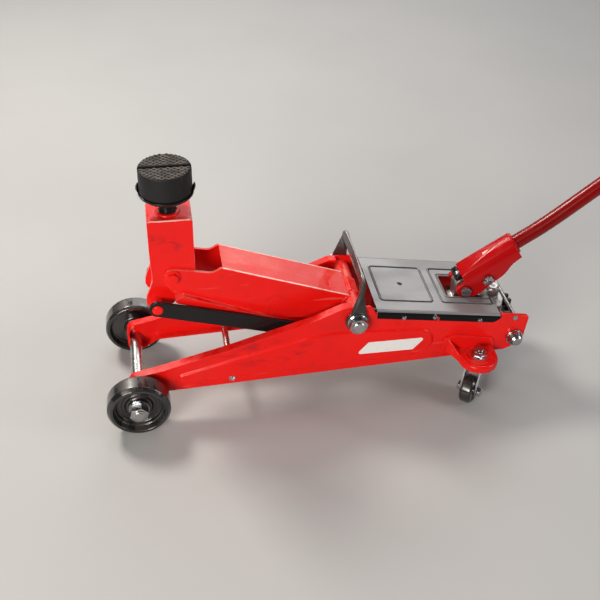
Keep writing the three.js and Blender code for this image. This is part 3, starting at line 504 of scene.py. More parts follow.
# ------------------------------------------------------------------ materials
class Look:
    """A material under construction, with short names for the nodes it uses."""

    def __init__(self, name, colour, roughness, metallic=0.0, coat=0.0, coat_roughness=0.1, specular=0.5):
        self.material = bpy.data.materials.new(name)
        self.material.use_nodes = True
        self.tree = self.material.node_tree
        self.shader = self.tree.nodes["Principled BSDF"]
        self.shader.inputs["Base Color"].default_value = (*colour, 1)
        self.shader.inputs["Roughness"].default_value = roughness
        self.shader.inputs["Metallic"].default_value = metallic
        self.shader.inputs["Coat Weight"].default_value = coat
        self.shader.inputs["Coat Roughness"].default_value = coat_roughness
        self.shader.inputs["Specular IOR Level"].default_value = specular
        self.colour = (*colour, 1)
        self.roughness = roughness
        self.coordinates = self.tree.nodes.new("ShaderNodeTexCoord")

    def link(self, source, target):
        self.tree.links.new(source, target)

    def noise(self, scale, detail=4, stretch=(1, 1, 1), distortion=0.0, seed=0.0):
        place = self.tree.nodes.new("ShaderNodeMapping")
        place.inputs["Scale"].default_value = stretch
        place.inputs["Location"].default_value = (seed, seed * 0.7, seed * 1.3)
        self.link(self.coordinates.outputs["Object"], place.inputs["Vector"])
        node = self.tree.nodes.new("ShaderNodeTexNoise")
        node.inputs["Scale"].default_value = scale
        node.inputs["Detail"].default_value = detail
        node.inputs["Distortion"].default_value = distortion
        self.link(place.outputs["Vector"], node.inputs["Vector"])
        return node.outputs["Fac"]

    def ramp(self, value, low, high, out_low=0.0, out_high=1.0):
        node = self.tree.nodes.new("ShaderNodeMapRange")
        node.interpolation_type = "SMOOTHSTEP"
        for key, number in (("From Min", low), ("From Max", high), ("To Min", out_low), ("To Max", out_high)):
            node.inputs[key].default_value = number
        self.link(value, node.inputs["Value"])
        return node.outputs["Result"]

    def maths(self, operation, first, second):
        node = self.tree.nodes.new("ShaderNodeMath")
        node.operation = operation
        for socket, value in zip(node.inputs, (first, second)):
            if isinstance(value, (int, float)):
                socket.default_value = value
            else:
                self.link(value, socket)
        return node.outputs["Value"]

    def facing_up(self, low=0.5, high=0.95):
        split = self.tree.nodes.new("ShaderNodeSeparateXYZ")
        self.link(self.coordinates.outputs["Normal"], split.inputs["Vector"])
        return self.ramp(split.outputs["Z"], low, high)

    def height(self, low, high):
        """0 below one height over the floor and 1 above another, in metres, on the piece at rest."""
        split = self.tree.nodes.new("ShaderNodeSeparateXYZ")
        self.link(self.coordinates.outputs["Object"], split.inputs["Vector"])
        return self.ramp(split.outputs["Z"], low, high)

    def near(self, point, reach):
        """1 at a place in the chassis frame, falling to 0 at `reach` (x, y, z) millimetres away."""
        place = self.tree.nodes.new("ShaderNodeMapping")
        place.vector_type = "TEXTURE"
        place.inputs["Location"].default_value = ZERO + Vector(point) * MM
        place.inputs["Scale"].default_value = Vector(reach) * MM
        self.link(self.coordinates.outputs["Object"], place.inputs["Vector"])
        length = self.tree.nodes.new("ShaderNodeVectorMath")
        length.operation = "LENGTH"
        self.link(place.outputs["Vector"], length.inputs[0])
        return self.ramp(length.outputs["Value"], 0.45, 1.0, 1.0, 0.0)

    def patches(self, low, high, *settings, **named):
        """0 to 1 where a noise climbs from `low` to `high`; the rest is as for noise()."""
        return self.ramp(self.noise(*settings, **named), low, high)

    def both(self, first, second):
        return self.maths("MULTIPLY", first, second)

    def tint(self, mask, share, colour):
        """Blends the colour so far towards another, by up to `share`, where the mask is 1."""
        mix = self.tree.nodes.new("ShaderNodeMix")
        mix.data_type = "RGBA"
        socket = self.shader.inputs["Base Color"]
        if socket.is_linked:
            self.link(socket.links[0].from_socket, mix.inputs["A"])
        else:
            mix.inputs["A"].default_value = self.colour
        mix.inputs["B"].default_value = (*colour, 1)
        self.link(self.both(mask, share), mix.inputs["Factor"])
        self.link(mix.outputs["Result"], socket)

    def roughen(self, mask, amount):
        socket = self.shader.inputs["Roughness"]
        before = socket.links[0].from_socket if socket.is_linked else self.roughness
        self.link(self.maths("ADD", before, self.both(mask, amount)), socket)

    def bump(self, height, distance, strength=1.0):
        node = self.tree.nodes.new("ShaderNodeBump")
        node.inputs["Distance"].default_value = distance * MM
        node.inputs["Strength"].default_value = strength
        self.link(height, node.inputs["Height"])
        socket = self.shader.inputs["Normal"]
        if socket.is_linked:
            self.link(socket.links[0].from_socket, node.inputs["Normal"])
        self.link(node.outputs["Normal"], socket)


def scaled(colour, factor):
    return tuple(part * factor for part in colour)


def enamel(name, colour, dust, dust_amount=0.3, roughness=0.22, grime=0.25, specular=0.2):
    """Glossy paint: orange peel, faint mottling, dust on what faces up, fine scratches and a little grime."""
    look = Look(name, colour, roughness, coat=0.12, coat_roughness=0.06, specular=specular)
    look.tint(look.patches(0.35, 0.7, 14, 5), 0.35, scaled(colour, 0.72))
    dusty = look.both(look.facing_up(), look.patches(0.38, 0.72, 55, 8, seed=3.1))
    look.tint(dusty, dust_amount, dust)
    look.tint(look.patches(0.69, 0.76, 260, 2, (0.06, 1, 0.5), seed=1.7), 0.3, dust)
    dirt = look.patches(0.62, 0.74, 38, 9, distortion=1.4, seed=7.7)
    look.tint(dirt, grime, scaled(colour, 0.25))
    look.roughen(dusty, 0.28)
    look.roughen(dirt, 0.15)
    look.bump(look.noise(700, 2), 0.04, 0.5)
    look.bump(look.noise(120, 2), 0.12, 0.35)
    return look


def painted(slot, *settings, **named):
    """Plain enamel for a slot; the settings are as for enamel()."""
    return enamel(*settings, **named).material, slot


def plated(name, colour, roughness=0.28, brushed=(1, 1, 1)):
    """Bright zinc: cloudy passivation, fine turning marks and a few dull spots."""
    look = Look(name, colour, roughness, metallic=1.0)
    cloud = look.patches(0.3, 0.75, 60, 6)
    look.tint(cloud, 0.5, scaled(colour, 0.66))
    spots = look.patches(0.66, 0.74, 420, 3, seed=2.2)
    look.tint(spots, 0.4, (0.23, 0.2, 0.17))
    look.roughen(cloud, 0.1)
    look.roughen(spots, 0.15)
    look.bump(look.noise(900, 2, brushed), 0.05, 0.6)
    return look


def metallic_grey(name, colour, lit, from_up=0.3):
    """Metallic paint with faint lengthwise streaks and scuffs, painted paler where it lies flat, as the light from
    above falls on it.
    """
    look = Look(name, colour, 0.36, metallic=0.5, coat=0.2, coat_roughness=0.25)
    # Painted light: flat-lying faces are tinted towards the lit colour.
    look.tint(look.facing_up(from_up, 0.95), 0.75, lit)
    streak = look.patches(0.35, 0.7, 30, 6, (0.4, 1, 1))
    look.tint(streak, 0.18, scaled(colour, 0.6))
    look.tint(look.patches(0.64, 0.74, 190, 5, (0.15, 1, 1), seed=5.0), 0.25, scaled(lit, 1.5))
    look.roughen(streak, 0.1)
    look.bump(look.noise(900, 2), 0.03, 0.5)
    return look.material, "grey_paint"


PAINT_RED = (0.8, 0.0085, 0.0065)


def make_worn_edge_highlight_red():
    """Pale paint along the edges: a painted highlight where the light catches the rounded edges, and paint worn
    thin there.
    """
    # Painted highlight with wear: the edge colour is pale pink, paler still in patches.
    look = enamel("red_enamel_edge", (0.88, 0.07, 0.05), (0.95, 0.62, 0.54), dust_amount=0.8,
                  roughness=0.16, specular=0.9)
    look.tint(look.patches(0.33, 0.55, 70, 6, seed=12.0), 0.85, (0.95, 0.6, 0.52))
    return look.material


def make_red(edge):
    """The plates' paint, smudged with dark oil on the near pressing and on the column."""
    look = enamel("red_enamel", PAINT_RED, (0.8, 0.13, 0.1), dust_amount=0.1)
    smudge = look.patches(0.5, 0.68, 38, 7, (0.8, 1, 1.5), distortion=0.7, seed=4.4)
    on_plate = look.near((190, -WEB_Y, 100), (95, 20, 30))
    on_column = look.near((COLUMN_MIDDLE.x, -26, COLUMN_MIDDLE.z + 40), (34, 10, 26))
    look.tint(look.both(smudge, look.maths("ADD", on_plate, on_column)), 0.5, (0.2, 0.012, 0.02))
    return look.material, "red_paint", edge


def make_worn_sheen_red(edge):
    """The lift arm's paint, pale along its top: rubbed paint and a painted sheen from the light above."""
    look = enamel("red_enamel_worn_sheen", PAINT_RED, (0.86, 0.2, 0.15), dust_amount=0.3, roughness=0.26)
    # Rubbed paint and painted sheen: the arm's upward faces are tinted pale in patches.
    rub_and_sheen = look.patches(0.45, 0.75, 26, 9, (0.35, 1, 1), seed=9.3)
    look.tint(look.both(rub_and_sheen, look.facing_up(0.6, 0.9)), 0.4, (0.9, 0.24, 0.18))
    return look.material, "red_paint", edge


def make_wheel():
    look = Look("wheel_nylon", (0.006, 0.006, 0.0065), 0.13, specular=0.7, coat=0.5, coat_roughness=0.06)
    dust = look.patches(0.42, 0.78, 45, 8, distortion=0.6)
    look.tint(dust, 0.16, (0.08, 0.068, 0.06))
    tread = look.both(look.facing_up(0.35, 0.9), look.patches(0.3, 0.6, 85, 8, (1, 0.35, 1), seed=3.0))
    look.tint(tread, 0.7, (0.055, 0.043, 0.039))
    look.tint(look.patches(0.6, 0.72, 300, 4, (1, 0.08, 1), seed=6.0), 0.3, (0.1, 0.09, 0.085))
    look.roughen(tread, 0.3)
    look.roughen(dust, 0.12)
    look.bump(look.noise(420, 3, (1, 0.2, 1)), 0.06, 0.5)
    return look.material, "wheel"


def make_rubber():
    """Black rubber, worn pale on the tops of the pad's ribs."""
    look = Look("pad_rubber", (0.011, 0.0105, 0.011), 0.55, specular=0.25)
    top = span("rubber_pad")[1].z * MM
    worn = look.both(look.height(top - 0.6 * MM, top - 0.2 * MM), look.patches(0.2, 0.65, 90, 7))
    look.tint(worn, 0.85, (0.2, 0.17, 0.15))
    look.tint(look.patches(0.6, 0.75, 160, 5, (1, 1, 0.2), seed=2.0), 0.3, (0.07, 0.065, 0.06))
    look.roughen(worn, 0.2)
    look.bump(look.noise(600, 4), 0.12, 0.6)
    return look.material, "pad_rubber"


def make_grip():
    look = Look("grip_rubber", (0.02, 0.02, 0.02), 0.75)
    look.tint(look.patches(0.4, 0.75, 120, 6), 0.3, (0.06, 0.057, 0.053))
    look.bump(look.noise(900, 3), 0.15, 0.7)
    return look.material, "grip_rubber"


def make_cast():
    look = plated("pump_casting", (0.5, 0.48, 0.46), roughness=0.4)
    look.bump(look.noise(260, 4), 0.25, 0.6)
    look.tint(look.patches(0.56, 0.7, 50, 7, distortion=1.0, seed=8.0), 0.45, (0.12, 0.1, 0.08))
    return look.material, "cast"


def make_white():
    look = Look("white_paint", (0.78, 0.78, 0.77), 0.4)
    look.tint(look.patches(0.5, 0.8, 90, 6), 0.25, (0.5, 0.44, 0.42))
    look.bump(look.noise(700, 2), 0.04, 0.5)
    return look.material, "red_paint"


# A finish is a material and a slot of the record. Two reds add the material of their pale edges: a painted
# highlight and worn paint.
WORN_EDGE_HIGHLIGHT = make_worn_edge_highlight_red()
RED = make_red(WORN_EDGE_HIGHLIGHT)
WORN_SHEEN_RED = make_worn_sheen_red(WORN_EDGE_HIGHLIGHT)
# Painted shade: the handle tubes take the socket's paint, painted darker.
HANDLE_RED_SHADED = painted("red_paint", "red_enamel_deep", (0.2, 0.001, 0.0014), (0.25, 0.015, 0.014), 0.1, 0.24)
SOCKET_RED = painted("red_paint", "red_enamel_socket", (0.42, 0.002, 0.003), (0.5, 0.05, 0.045), 0.1, 0.2)
BLACK = painted("black_paint", "black_enamel", (0.009, 0.008, 0.0085), (0.05, 0.045, 0.043), 0.2, 0.26)
# Painted light in these greys: flat-lying faces are paler; on the carry handle's dark paint this paints its tops
# pale as lit from above.
GREY = metallic_grey("grey_enamel", (0.25, 0.242, 0.244), (0.28, 0.27, 0.273))
BAIL_GREY = metallic_grey("grey_enamel_dark", (0.05, 0.046, 0.045), (0.42, 0.37, 0.36), 0.55)
# Painted shade: a darker copy of the grey for the slopes of the cover's beads.
BEAD_SLOPE_SHADE = metallic_grey("grey_enamel_bead_shade", (0.035, 0.033, 0.033), (0.06, 0.057, 0.057))
# Painted shade: the cover's paint, painted near black on its upright sides.
COVER_SIDE_SHADE = painted("grey_paint", "cover_side", (0.006, 0.006, 0.007), (0.03, 0.03, 0.03), 0.05, 0.28,
                grime=0.1, specular=0.05)
WHEEL = make_wheel()
RUBBER = make_rubber()
GRIP = make_grip()
CAST = make_cast()
WHITE = make_white()
ZINC = (plated("bright_zinc", (0.46, 0.47, 0.49), 0.14).material, "zinc")
STEEL = (plated("turned_steel", (0.52, 0.5, 0.49), 0.24, (1, 0.05, 1)).material, "zinc")


# ------------------------------------------------------------------ camera and studio
# The photograph's view, in the chassis frame
CAMERA_AT = Vector((42.4, -1054.2, 983.1))
CAMERA_TURN = math.radians(-10.85)
CAMERA_UP = math.radians(38.2)
CAMERA_ROLL = math.radians(1.99)
CAMERA_LENS = 55.74
# In metres
FLOOR_HALF = 8.0
FLOOR_GAP = 0.0005
LIGHTS_AIM = (0.25, 0, 0.12)
WARM, PLAIN = (1, 0.93, 0.85), (1, 1, 1)
# Name, place, size, watts and colour
LIGHTS = (
    ("key", (-0.75, 1.25, 1.75), (0.6, 0.5), 42, WARM),
    ("top_strip", (0.55, 0.45, 1.9), (2.0, 0.15), 7, PLAIN),
    ("back_sheet", (0.9, 2.3, 1.5), (2.0, 1.0), 20, PLAIN),
    ("front_fill", (-1.1, -1.9, 1.1), (1.0, 0.8), 56, WARM),
    ("right_edge", (1.9, -0.7, 0.9), (0.5, 0.9), 8, PLAIN),
)


def make_camera():
    data = bpy.data.cameras.new("camera")
    data.lens = CAMERA_LENS
    data.sensor_width = 36
    data.clip_start, data.clip_end = 0.01, 50
    camera = add_object("camera", data)
    a, e = CAMERA_TURN, CAMERA_UP
    back = Vector((math.sin(a) * math.cos(e), -math.cos(a) * math.cos(e), math.sin(e)))
    right = (-back).cross(Vector((0, 0, 1))).normalized()
    up = right.cross(-back)
    turn = Matrix((right, up, back)).transposed().to_4x4() @ Matrix.Rotation(CAMERA_ROLL, 4, "Z")
    camera.matrix_world = Matrix.Translation(ZERO + CAMERA_AT * MM) @ turn
    bpy.context.scene.camera = camera


def area_light(name, place, size, power, colour):
    data = bpy.data.lights.new(name, "AREA")
    data.shape = "RECTANGLE"
    data.size, data.size_y = size
    data.energy = power
    data.color = colour
    lamp = add_object(name, data)
    lamp.location = ZERO + Vector(place)
    lamp.rotation_euler = (Vector(LIGHTS_AIM) - Vector(place)).to_track_quat("-Z", "Y").to_euler()


def make_studio():
    floor = bpy.data.meshes.new("floor")
    corners = [(x * FLOOR_HALF, y * FLOOR_HALF, 0) for x, y in ((-1, -1), (1, -1), (1, 1), (-1, 1))]
    floor.from_pydata(corners, [], [(0, 1, 2, 3)])
    floor_object = add_object("floor", floor)
    floor_object.location.z = -FLOOR_GAP
    look = Look("floor", (0.43, 0.43, 0.428), 0.65)
    look.tint(look.patches(0.35, 0.7, 3, 4), 0.4, (0.39, 0.39, 0.39))
    floor.materials.append(look.material)
    world = bpy.data.worlds.new("studio")
    world.use_nodes = True
    background = world.node_tree.nodes["Background"]
    background.inputs["Color"].default_value = (0.62, 0.64, 0.68, 1)
    background.inputs["Strength"].default_value = 0.14
    bpy.context.scene.world = world
    bpy.context.scene.view_settings.view_transform = "Standard"
    for light in LIGHTS:
        area_light(*light)


# ------------------------------------------------------------------ wheels and axle
def make_front_wheel(name, side):
    axle = (0, 0, WHEEL_R)
    low, high = span("front_wheel_right")
    inner, outer = low.y + 10, high.y
    bore = span("front_axle")[1].z - WHEEL_R + 0.3
    path = rounded([
        (bore, low.y), (16, low.y, 1), (16, outer - 20, 3), (WHEEL_R - 8, outer - 20, 3),
        (WHEEL_R - 7, inner, 1.5), (WHEEL_R - 2.5, inner, 2), (WHEEL_R, inner + 4, 3),
        (WHEEL_R, outer - 5, 4), (WHEEL_R - 4.5, outer, 2), (WHEEL_R - 8.5, outer, 1.2),
        (WHEEL_R - 10.5, outer - 9, 2), (WHEEL_R - 12, outer - 9.5, 1), (WHEEL_R - 13.5, outer - 14, 2),
        (20.5, outer - 14.5, 1.5), (18.5, outer - 11, 1), (bore, outer - 11),
    ], 5)
    wheel = lathe("front_wheel_look", [tuple(p) for p in path], side_axis(side), axle, 128, closed=True)
    rings = [bead("r", circle(0, WHEEL_R, radius, 96), "Y", side * station, side * 0.5, 1.2, 0.4 * side)
             for radius, station in ((30, outer - 14.3), (25.5, outer - 14.4))]
    stand_in(f"front_wheel_{name}", WHEEL, f"front_wheel_{name}", wheel, *rings)


def make_front_end():
    axle = (0, 0, WHEEL_R)
    radius = span("front_axle")[1].z - WHEEL_R
    end = span("front_axle")[1].y
    shoulder = span("axle_washer_right")[0].y - 0.3
    ends = [thread("end", radius - 1, 1.8, side * (shoulder - 0.2), side * end, "Y", axle)
            for _, side in SIDES]
    stand_in("front_axle", STEEL, "chassis", bar(radius, shoulder, axle), *ends)
    for name, side in SIDES:
        make_front_wheel(name, side)
        near, far = out_from_middle(f"axle_washer_{name}")
        washer = [(radius - 0.7, near), (15, near), (15, far - 0.4), (14.6, far), (radius - 0.7, far)]
        put(lathe(f"axle_washer_{name}_look", washer, side_axis(side), axle, 64, closed=True),
            ZINC, "chassis", f"axle_washer_{name}")
        near, far = out_from_middle(f"axle_nut_{name}")
        nut = hex_head("nut", NUT_FLATS, side * near, side * far, "Y", 0, WHEEL_R, NUT_TURN)
        rim = [(0, far - 0.5), (9.6, far - 0.5), (9.6, far + 0.9), (8.6, far + 1.4), (0, far + 1.4)]
        collar = lathe("collar", rim, side_axis(side), axle, 48)
        stand_in(f"axle_nut_{name}", ZINC, "chassis", nut, collar)
    tie = middle("front_tie_rod")
    high = span("front_tie_rod")[1]
    reach, rod = high.y, high.z - tie.z
    profile = [(0, -reach), (rod - 3.5, -reach + 0.3), (rod - 1.2, -reach + 3), (rod - 1, -reach + 3.5),
               (rod, -reach + 4)]
    profile += [(r, -s) for r, s in reversed(profile)]
    put(lathe("front_tie_rod_look", profile, "Y", tie, 48), STEEL, "chassis", "front_tie_rod")


# ------------------------------------------------------------------ side plates
HUMP_FRONT, HUMP_REAR = 296, 336
EMBOSS = 2.9


def plate_top(x):
    return cover_top(x) - 6.4


def plate_points(inset):
    end = PLATE_HIGH.x
    nose = PLATE_LOW.x
    top = PLATE_HIGH.z
    bottom = PLATE_LOW.z
    low_edge = lambda x: 42 + (x - 29) * 0.041 + inset
    step_at = COVER_HIGH.x + 2
    return [
        (nose + inset, bottom + inset, 12), (10, bottom + inset, 18), (34, low_edge(34), 18),
        (end - 30, low_edge(end - 30), 18), (end - 4, 76, 18), (end, cover_top(end), 8),
        (step_at, cover_top(step_at), 1.5), (step_at, plate_top(step_at), 1),
        (COVER_LOW.x - 1.5, plate_top(COVER_LOW.x - 1.5), 3), (HUMP_REAR, top - inset, 9),
        (HUMP_FRONT, top - inset, 22), (253, 149 - inset, 18), (126, 108 - inset, 40),
        (26, 80 - inset, 25), (nose + inset, 72 - inset, 14),
    ]


def emboss_path():
    return rounded([
        (56, 56, 7), (300, 64.5, 60), (400, 68.5, 60), (438, 80, 22), (430, 119, 24), (330, 127, 60),
        (284, 128, 60), (245, 123, 60), (126, 92, 80), (58, 73, 8),
    ], 10)


def side_plate(name, side):
    inner, outer = side * (WEB_Y - 13), side * WEB_Y
    plate = prism("plate", rounded(plate_points(0)), "Y", inner, outer, round_face=outer, round_by=3.2)
    hollow = prism("hollow", rounded(plate_points(SHEET)), "Y", 0, side * (WEB_Y - SHEET))
    tail = prism("tail", rectangle(HUMP_FRONT + 12, PLATE_HIGH.x + 20, 72, 210, 1), "Y",
                 side * 20, side * (WEB_Y - SHEET))
    cut(plate, hollow, tail)
    ease_edges(plate, 0.8, 3, 50, True)
    settle(plate)
    emboss = pressing("emboss", emboss_path(), "Y", outer - side * 0.2, side * (EMBOSS + 0.2), 4.6, 0.8)
    stand_in(f"side_plate_{name}", RED, "chassis", plate, emboss)


def side_mark(name, side):
    """A plain slanted stripe in white paint on the pressing."""
    face = side * (WEB_Y + EMBOSS)
    path = rounded([(318, 83, 3), (403, 83, 3), (420, 104, 3), (335, 104, 3)])
    put(prism(f"stripe_{name}", path, "Y", face - side * 0.1, face + side * 0.16), WHITE, "chassis")


# ------------------------------------------------------------------ cover
def make_cover():
    x0, x1 = COVER_LOW.x, COVER_HIGH.x
    half, thick, skirt = COVER_HALF, 2.0, 14
    outer = [(-half, -skirt), (-half, 0, 5.5), (half, 0, 5.5), (half, -skirt)]
    inner = [(half - thick, -skirt), (half - thick, -thick, 3.5), (-half + thick, -thick, 3.5),
             (-half + thick, -skirt)]
    sheet = prism("sheet", rounded(outer + inner, 8), "X", x0, x1)
    opening = rectangle(OPENING_X, x1 + 40, -OPENING_HALF, OPENING_HALF, 5)
    tools = [prism("hole", opening, "Z", -60, 60),
             prism("hole", circle(COVER_HOLE_X, 0, 3.6, 32), "Z", -60, 60)]
    corner = [Vector((x1 + x, z)) for x, z in
              ((-13, -skirt - 1), (1, -skirt - 1), (1, -5), (-2, -8), (-6, -11.5))]
    for _, side in SIDES:
        near, far = sorted((side * 60, side * 80))
        tools.append(prism("notch", rectangle(*NOTCH_X, near, far, 0.5), "Z", -40, -7))
    for _, side in SIDES:
        tools.append(prism("corner", corner, "Y", side * 50, side * 80))
    cut(sheet, *tools)
    ease_edges(sheet, 0.45, 2, 50)
    settle(sheet)
    lip = OPENING_HALF + 4.6
    beads = [
        bead("panel", rectangle(x0 + 9, 436, -BEAD_HALF, BEAD_HALF, 7), "Z", 0, 1.5, 4.4),
        bead("frame", rectangle(446, x1 - 1.5, -BEAD_HALF, BEAD_HALF, 7), "Z", 0, 1.5, 4.4),
        bead("lip", rectangle(OPENING_X - 4.6, x1 - 3, -lip, lip, 6), "Z", 0, 1.0, 3.4),
    ]
    rear = rectangle(OPENING_X + 0.2, x1 + 30, -OPENING_HALF + 0.1, OPENING_HALF - 0.1, 4.8)
    for strip in beads[1:]:
        cut(strip, prism("rear", rear, "Z", -30, 30))
    # Painted shade: a dark rubber disc under the cover's hole stands for the shade inside it.
    plug = lathe("plug", [(0, -2.9), (3.5, -2.9), (3.5, -0.5), (0, -0.5)], "Z", (COVER_HOLE_X, 0, 0), 32)
    put(lean_with_cover(gather("cover_hole_shade", [plug])), GRIP, "chassis")
    cover = lean_with_cover(gather("cover_plate_look", [sheet, *beads]))
    put(cover, GREY, "chassis", "cover_plate")
    shade_cover(cover)
    for node in [n for n in frame["nodes"] if n.startswith("cover_screw")]:
        place = middle(node)
        side = 1 if place.y > 0 else -1
        screw_head(node + "_look", at_middle(place), side, half + 0.2, 3.6, 2.3, node)
    for name, side in SIDES:
        screw_head(f"cover_stud_{name}", (STUD_X, 0, cover_top(STUD_X) - 7), side, half, 4, 3)


def shade_cover(cover):
    """The cover is one painted sheet: its upright sides and the slopes of its beads take darker copies of its
    paint, as painted shade.
    """
    cover.data.materials.append(COVER_SIDE_SHADE[0])
    cover.data.materials.append(BEAD_SLOPE_SHADE[0])
    side_level, bead_level = (COVER_HALF - 1.2) * MM, (BEAD_HALF + 0.5) * MM
    # Painted shade by facing: upright sides first, then the bead slopes.
    for face in cover.data.polygons:
        if abs(face.center.y) > side_level and abs(face.normal.y) > 0.6:
            face.material_index = 1
        elif abs(face.center.y) < bead_level and 0.4 < face.normal.z < 0.88:
            face.material_index = 2


def screw_head(name, centre, side, base, radius, height, *nodes):
    """A domed screw head with a cross recess left as a shallow dimple."""
    profile = [(0, base - 1), (radius, base - 1)]
    profile += [(radius * out, base + height * up) for out, up in
                ((1, 0.35), (0.8, 0.8), (0.45, 1), (0.35, 0.7), (0, 0.55))]
    put(lathe(name, profile, side_axis(side), centre, 32), ZINC, "chassis", *nodes)


# ------------------------------------------------------------------ carry handle
def rounded_section(centre, wide, thin, roundness=0.55, steps=5):
    """Points round a strap's section, whose half-width and half-thickness are vectors."""
    ratio = roundness * thin.length / wide.length
    points = []
    for su, sv, start in ((1, 1, 0), (-1, 1, 1), (-1, -1, 2), (1, -1, 3)):
        for k in range(steps):
            a = (start + k / (steps - 1)) * math.pi / 2
            u = su * (1 - ratio) + ratio * math.cos(a)
            v = sv * (1 - roundness) + roundness * math.sin(a)
            points.append(centre + wide * u + thin * v)
    return points


def smooth_between(a, b, t):
    return a + (b - a) * (3 * t * t - 2 * t ** 3)


def make_carry_handle():
    high = span("carry_handle")[1]
    leg_y = WEB_Y + 4.3
    half, thin = 9.0, 2.8
    top = Vector((321, 0, high.z - half))
    eye = at_middle(ARM_PIVOT)
    lean = (top - eye).normalized()
    across = Vector((lean.z, 0, -lean.x))
    reach = (top - eye).length
    corner_y = leg_y - STRAP_BEND
    legs = 18
    rings = []
    for k in range(legs + 1):
        t = k / legs
        centre = eye + lean * (STRAP_FOOT + (reach - STRAP_FOOT - STRAP_BEND) * t)
        centre += Vector((0, 8.8 * smooth_between(0, 1, t) - leg_y, 0))
        twist = math.radians(90) * min(1, max(0, (t - 0.1) / 0.86))
        wide = smooth_between(11.5, 8.6, min(1, t * 1.6))
        thick = thin + 0.7 * math.sin(math.pi * t)
        w = across * wide * math.cos(twist) + Vector((0, wide * math.sin(twist), 0))
        n = Vector((0, thick * math.cos(twist), 0)) - across * thick * math.sin(twist)
        rings.append((centre, w, n))
    bend = 10
    pivot = top + Vector((0, STRAP_BEND - corner_y, -STRAP_BEND))
    for k in range(1, bend + 1):
        a = math.pi / 2 * k / bend
        outwards = Vector((0, -math.cos(a), math.sin(a)))
        centre = pivot + outwards * STRAP_BEND
        rings.append((centre, -outwards * half * smooth_between(0.955, 1, k / bend), Vector((-thin, 0, 0))))
    mirrored = [(Vector((c.x, -c.y, c.z)), Vector((w.x, -w.y, w.z)), Vector((n.x, -n.y, n.z)))
                for c, w, n in reversed(rings)]
    first = [rounded_section(*ring) for ring in rings]
    second = [rounded_section(c, w, n)[::-1] for c, w, n in mirrored]
    # The mirrored half's points start where the first half's do
    shift = Vector((0, second[0][0].y - first[-1][0].y, 0))
    start = min(range(len(second[0])), key=lambda k: (second[0][k] - first[-1][0] - shift).length)
    second = [ring[start:] + ring[:start] for ring in second]
    strap = sweep("strap", first + second, 45)
    eyes = []
    for _, side in SIDES:
        ring = [(11.3, leg_y - thin), (16.5, leg_y - thin), (16.5, leg_y + thin), (11.3, leg_y + thin)]
        ring_piece = lathe("eye", ring, side_axis(side), eye, 64, closed=True)
        eyes.append(settle(ease_edges(ring_piece, 0.7, 3)))
    stand_in("carry_handle", BAIL_GREY, "chassis", strap, *eyes)


def make_pivot():
    place = at_middle(ARM_PIVOT)
    end = span("arm_pivot_shaft")[1].y
    ends = [thread("end", 9, 1.8, side * 72, side * end, "Y", place) for _, side in SIDES]
    stand_in("arm_pivot_shaft", STEEL, "chassis", bar(11, 72.6, place), *ends)
    for name, side in SIDES:
        near, far = out_from_middle(f"pivot_nut_{name}")
        nut = hex_head("nut", NUT_FLATS, side * (near + 2), side * far, "Y", place.x, place.z, NUT_TURN)
        rim = [(0, near), (14.8, near), (14.8, near + 0.9), (13.4, near + 2.2), (0, near + 2.2)]
        flange = lathe("flange", rim, side_axis(side), place, 64)
        stand_in(f"pivot_nut_{name}", ZINC, "chassis", nut, flange)


# ------------------------------------------------------------------ lift arm, column, links
def make_lift():
    arm = fold_top_edges(copy_of("lift_arm", "lift_arm_look"), 2.6)
    put(ease_edges(arm, 1.8, 5, 40, True), WORN_SHEEN_RED, "lift_arm", "lift_arm")
    column = fold_top_edges(copy_of("saddle_column", "saddle_column_look"), 1.6, 30)
    put(ease_edges(column, 1.1, 4, 40, True), RED, "column", "saddle_column")
    top = span("saddle_column")[1].z
    seat = lathe("screw_seat", rounded_profile([(12, top - 1), (17.5, top - 0.6, 0.6), (16, top + 1.6, 1),
                                                (12.6, top + 1.8, 0.6), (11.6, top - 1)]),
                 "Z", (SCREW_AXIS.x, 0, 0), 72)
    put(seat, RED, "column")
    for name, side in SIDES:
        near, far = out_from_middle(f"front_pivot_bolt_{name}")
        place = at_middle(FRONT_PIVOT)
        head = hex_head("head", 14, side * (far - 6), side * far, "Y", place.x, place.z, 0.3, both_ends=False)
        shank = [(0, near), (6, near), (6, far - 6.7), (11, far - 6.7), (11, far - 5.6), (9, far - 4.6),
                 (0, far - 4.6)]
        flange = lathe("flange", shank, side_axis(side), place, 48)
        stand_in(f"front_pivot_bolt_{name}", RED, "lift_arm", flange, head)
        near, far = out_from_middle(f"link_front_pin_{name}")
        place = at_middle(LINK_FRONT)
        profile = [(0, near), (6, near), (6, 25.7), (8, 25.7), (8, 40.7), (6, 40.7), (6, far - 2.7),
                   (7.6, far - 2.7), (7.4, far - 1.6), (6, far - 0.4), (3, far), (0, far)]
        put(lathe(f"link_front_pin_{name}_look", profile, side_axis(side), place, 64), RED, "column",
            f"link_front_pin_{name}")
        make_link(name, side)


def make_link(name, side):
    near, far = out_from_middle(f"level_link_{name}")
    front, rear = Vector((LINK_FRONT.x, LINK_FRONT.z)), Vector((LINK_REAR.x, LINK_REAR.z))
    radius = front.x - span(f"level_link_{name}")[0].x
    angle = math.atan2(rear.y - front.y, rear.x - front.x)
    half_turn = [angle + math.pi / 2 + math.pi * k / 20 for k in range(21)]
    path = arc(front, radius, half_turn) + arc(rear, radius, [a - math.pi for a in half_turn])
    link = prism(f"level_link_{name}_look", path, "Y", side * near, side * far)
    put(ease_edges(link, 0.8, 3), BLACK, f"level_link_{name}", f"level_link_{name}")


# ------------------------------------------------------------------ saddle
PAD_SLOT = 6.0
PAD_SLOT_DEPTH = 15.0
RIDGE_PITCH = 5.6
RIDGE_HEIGHT = 0.9


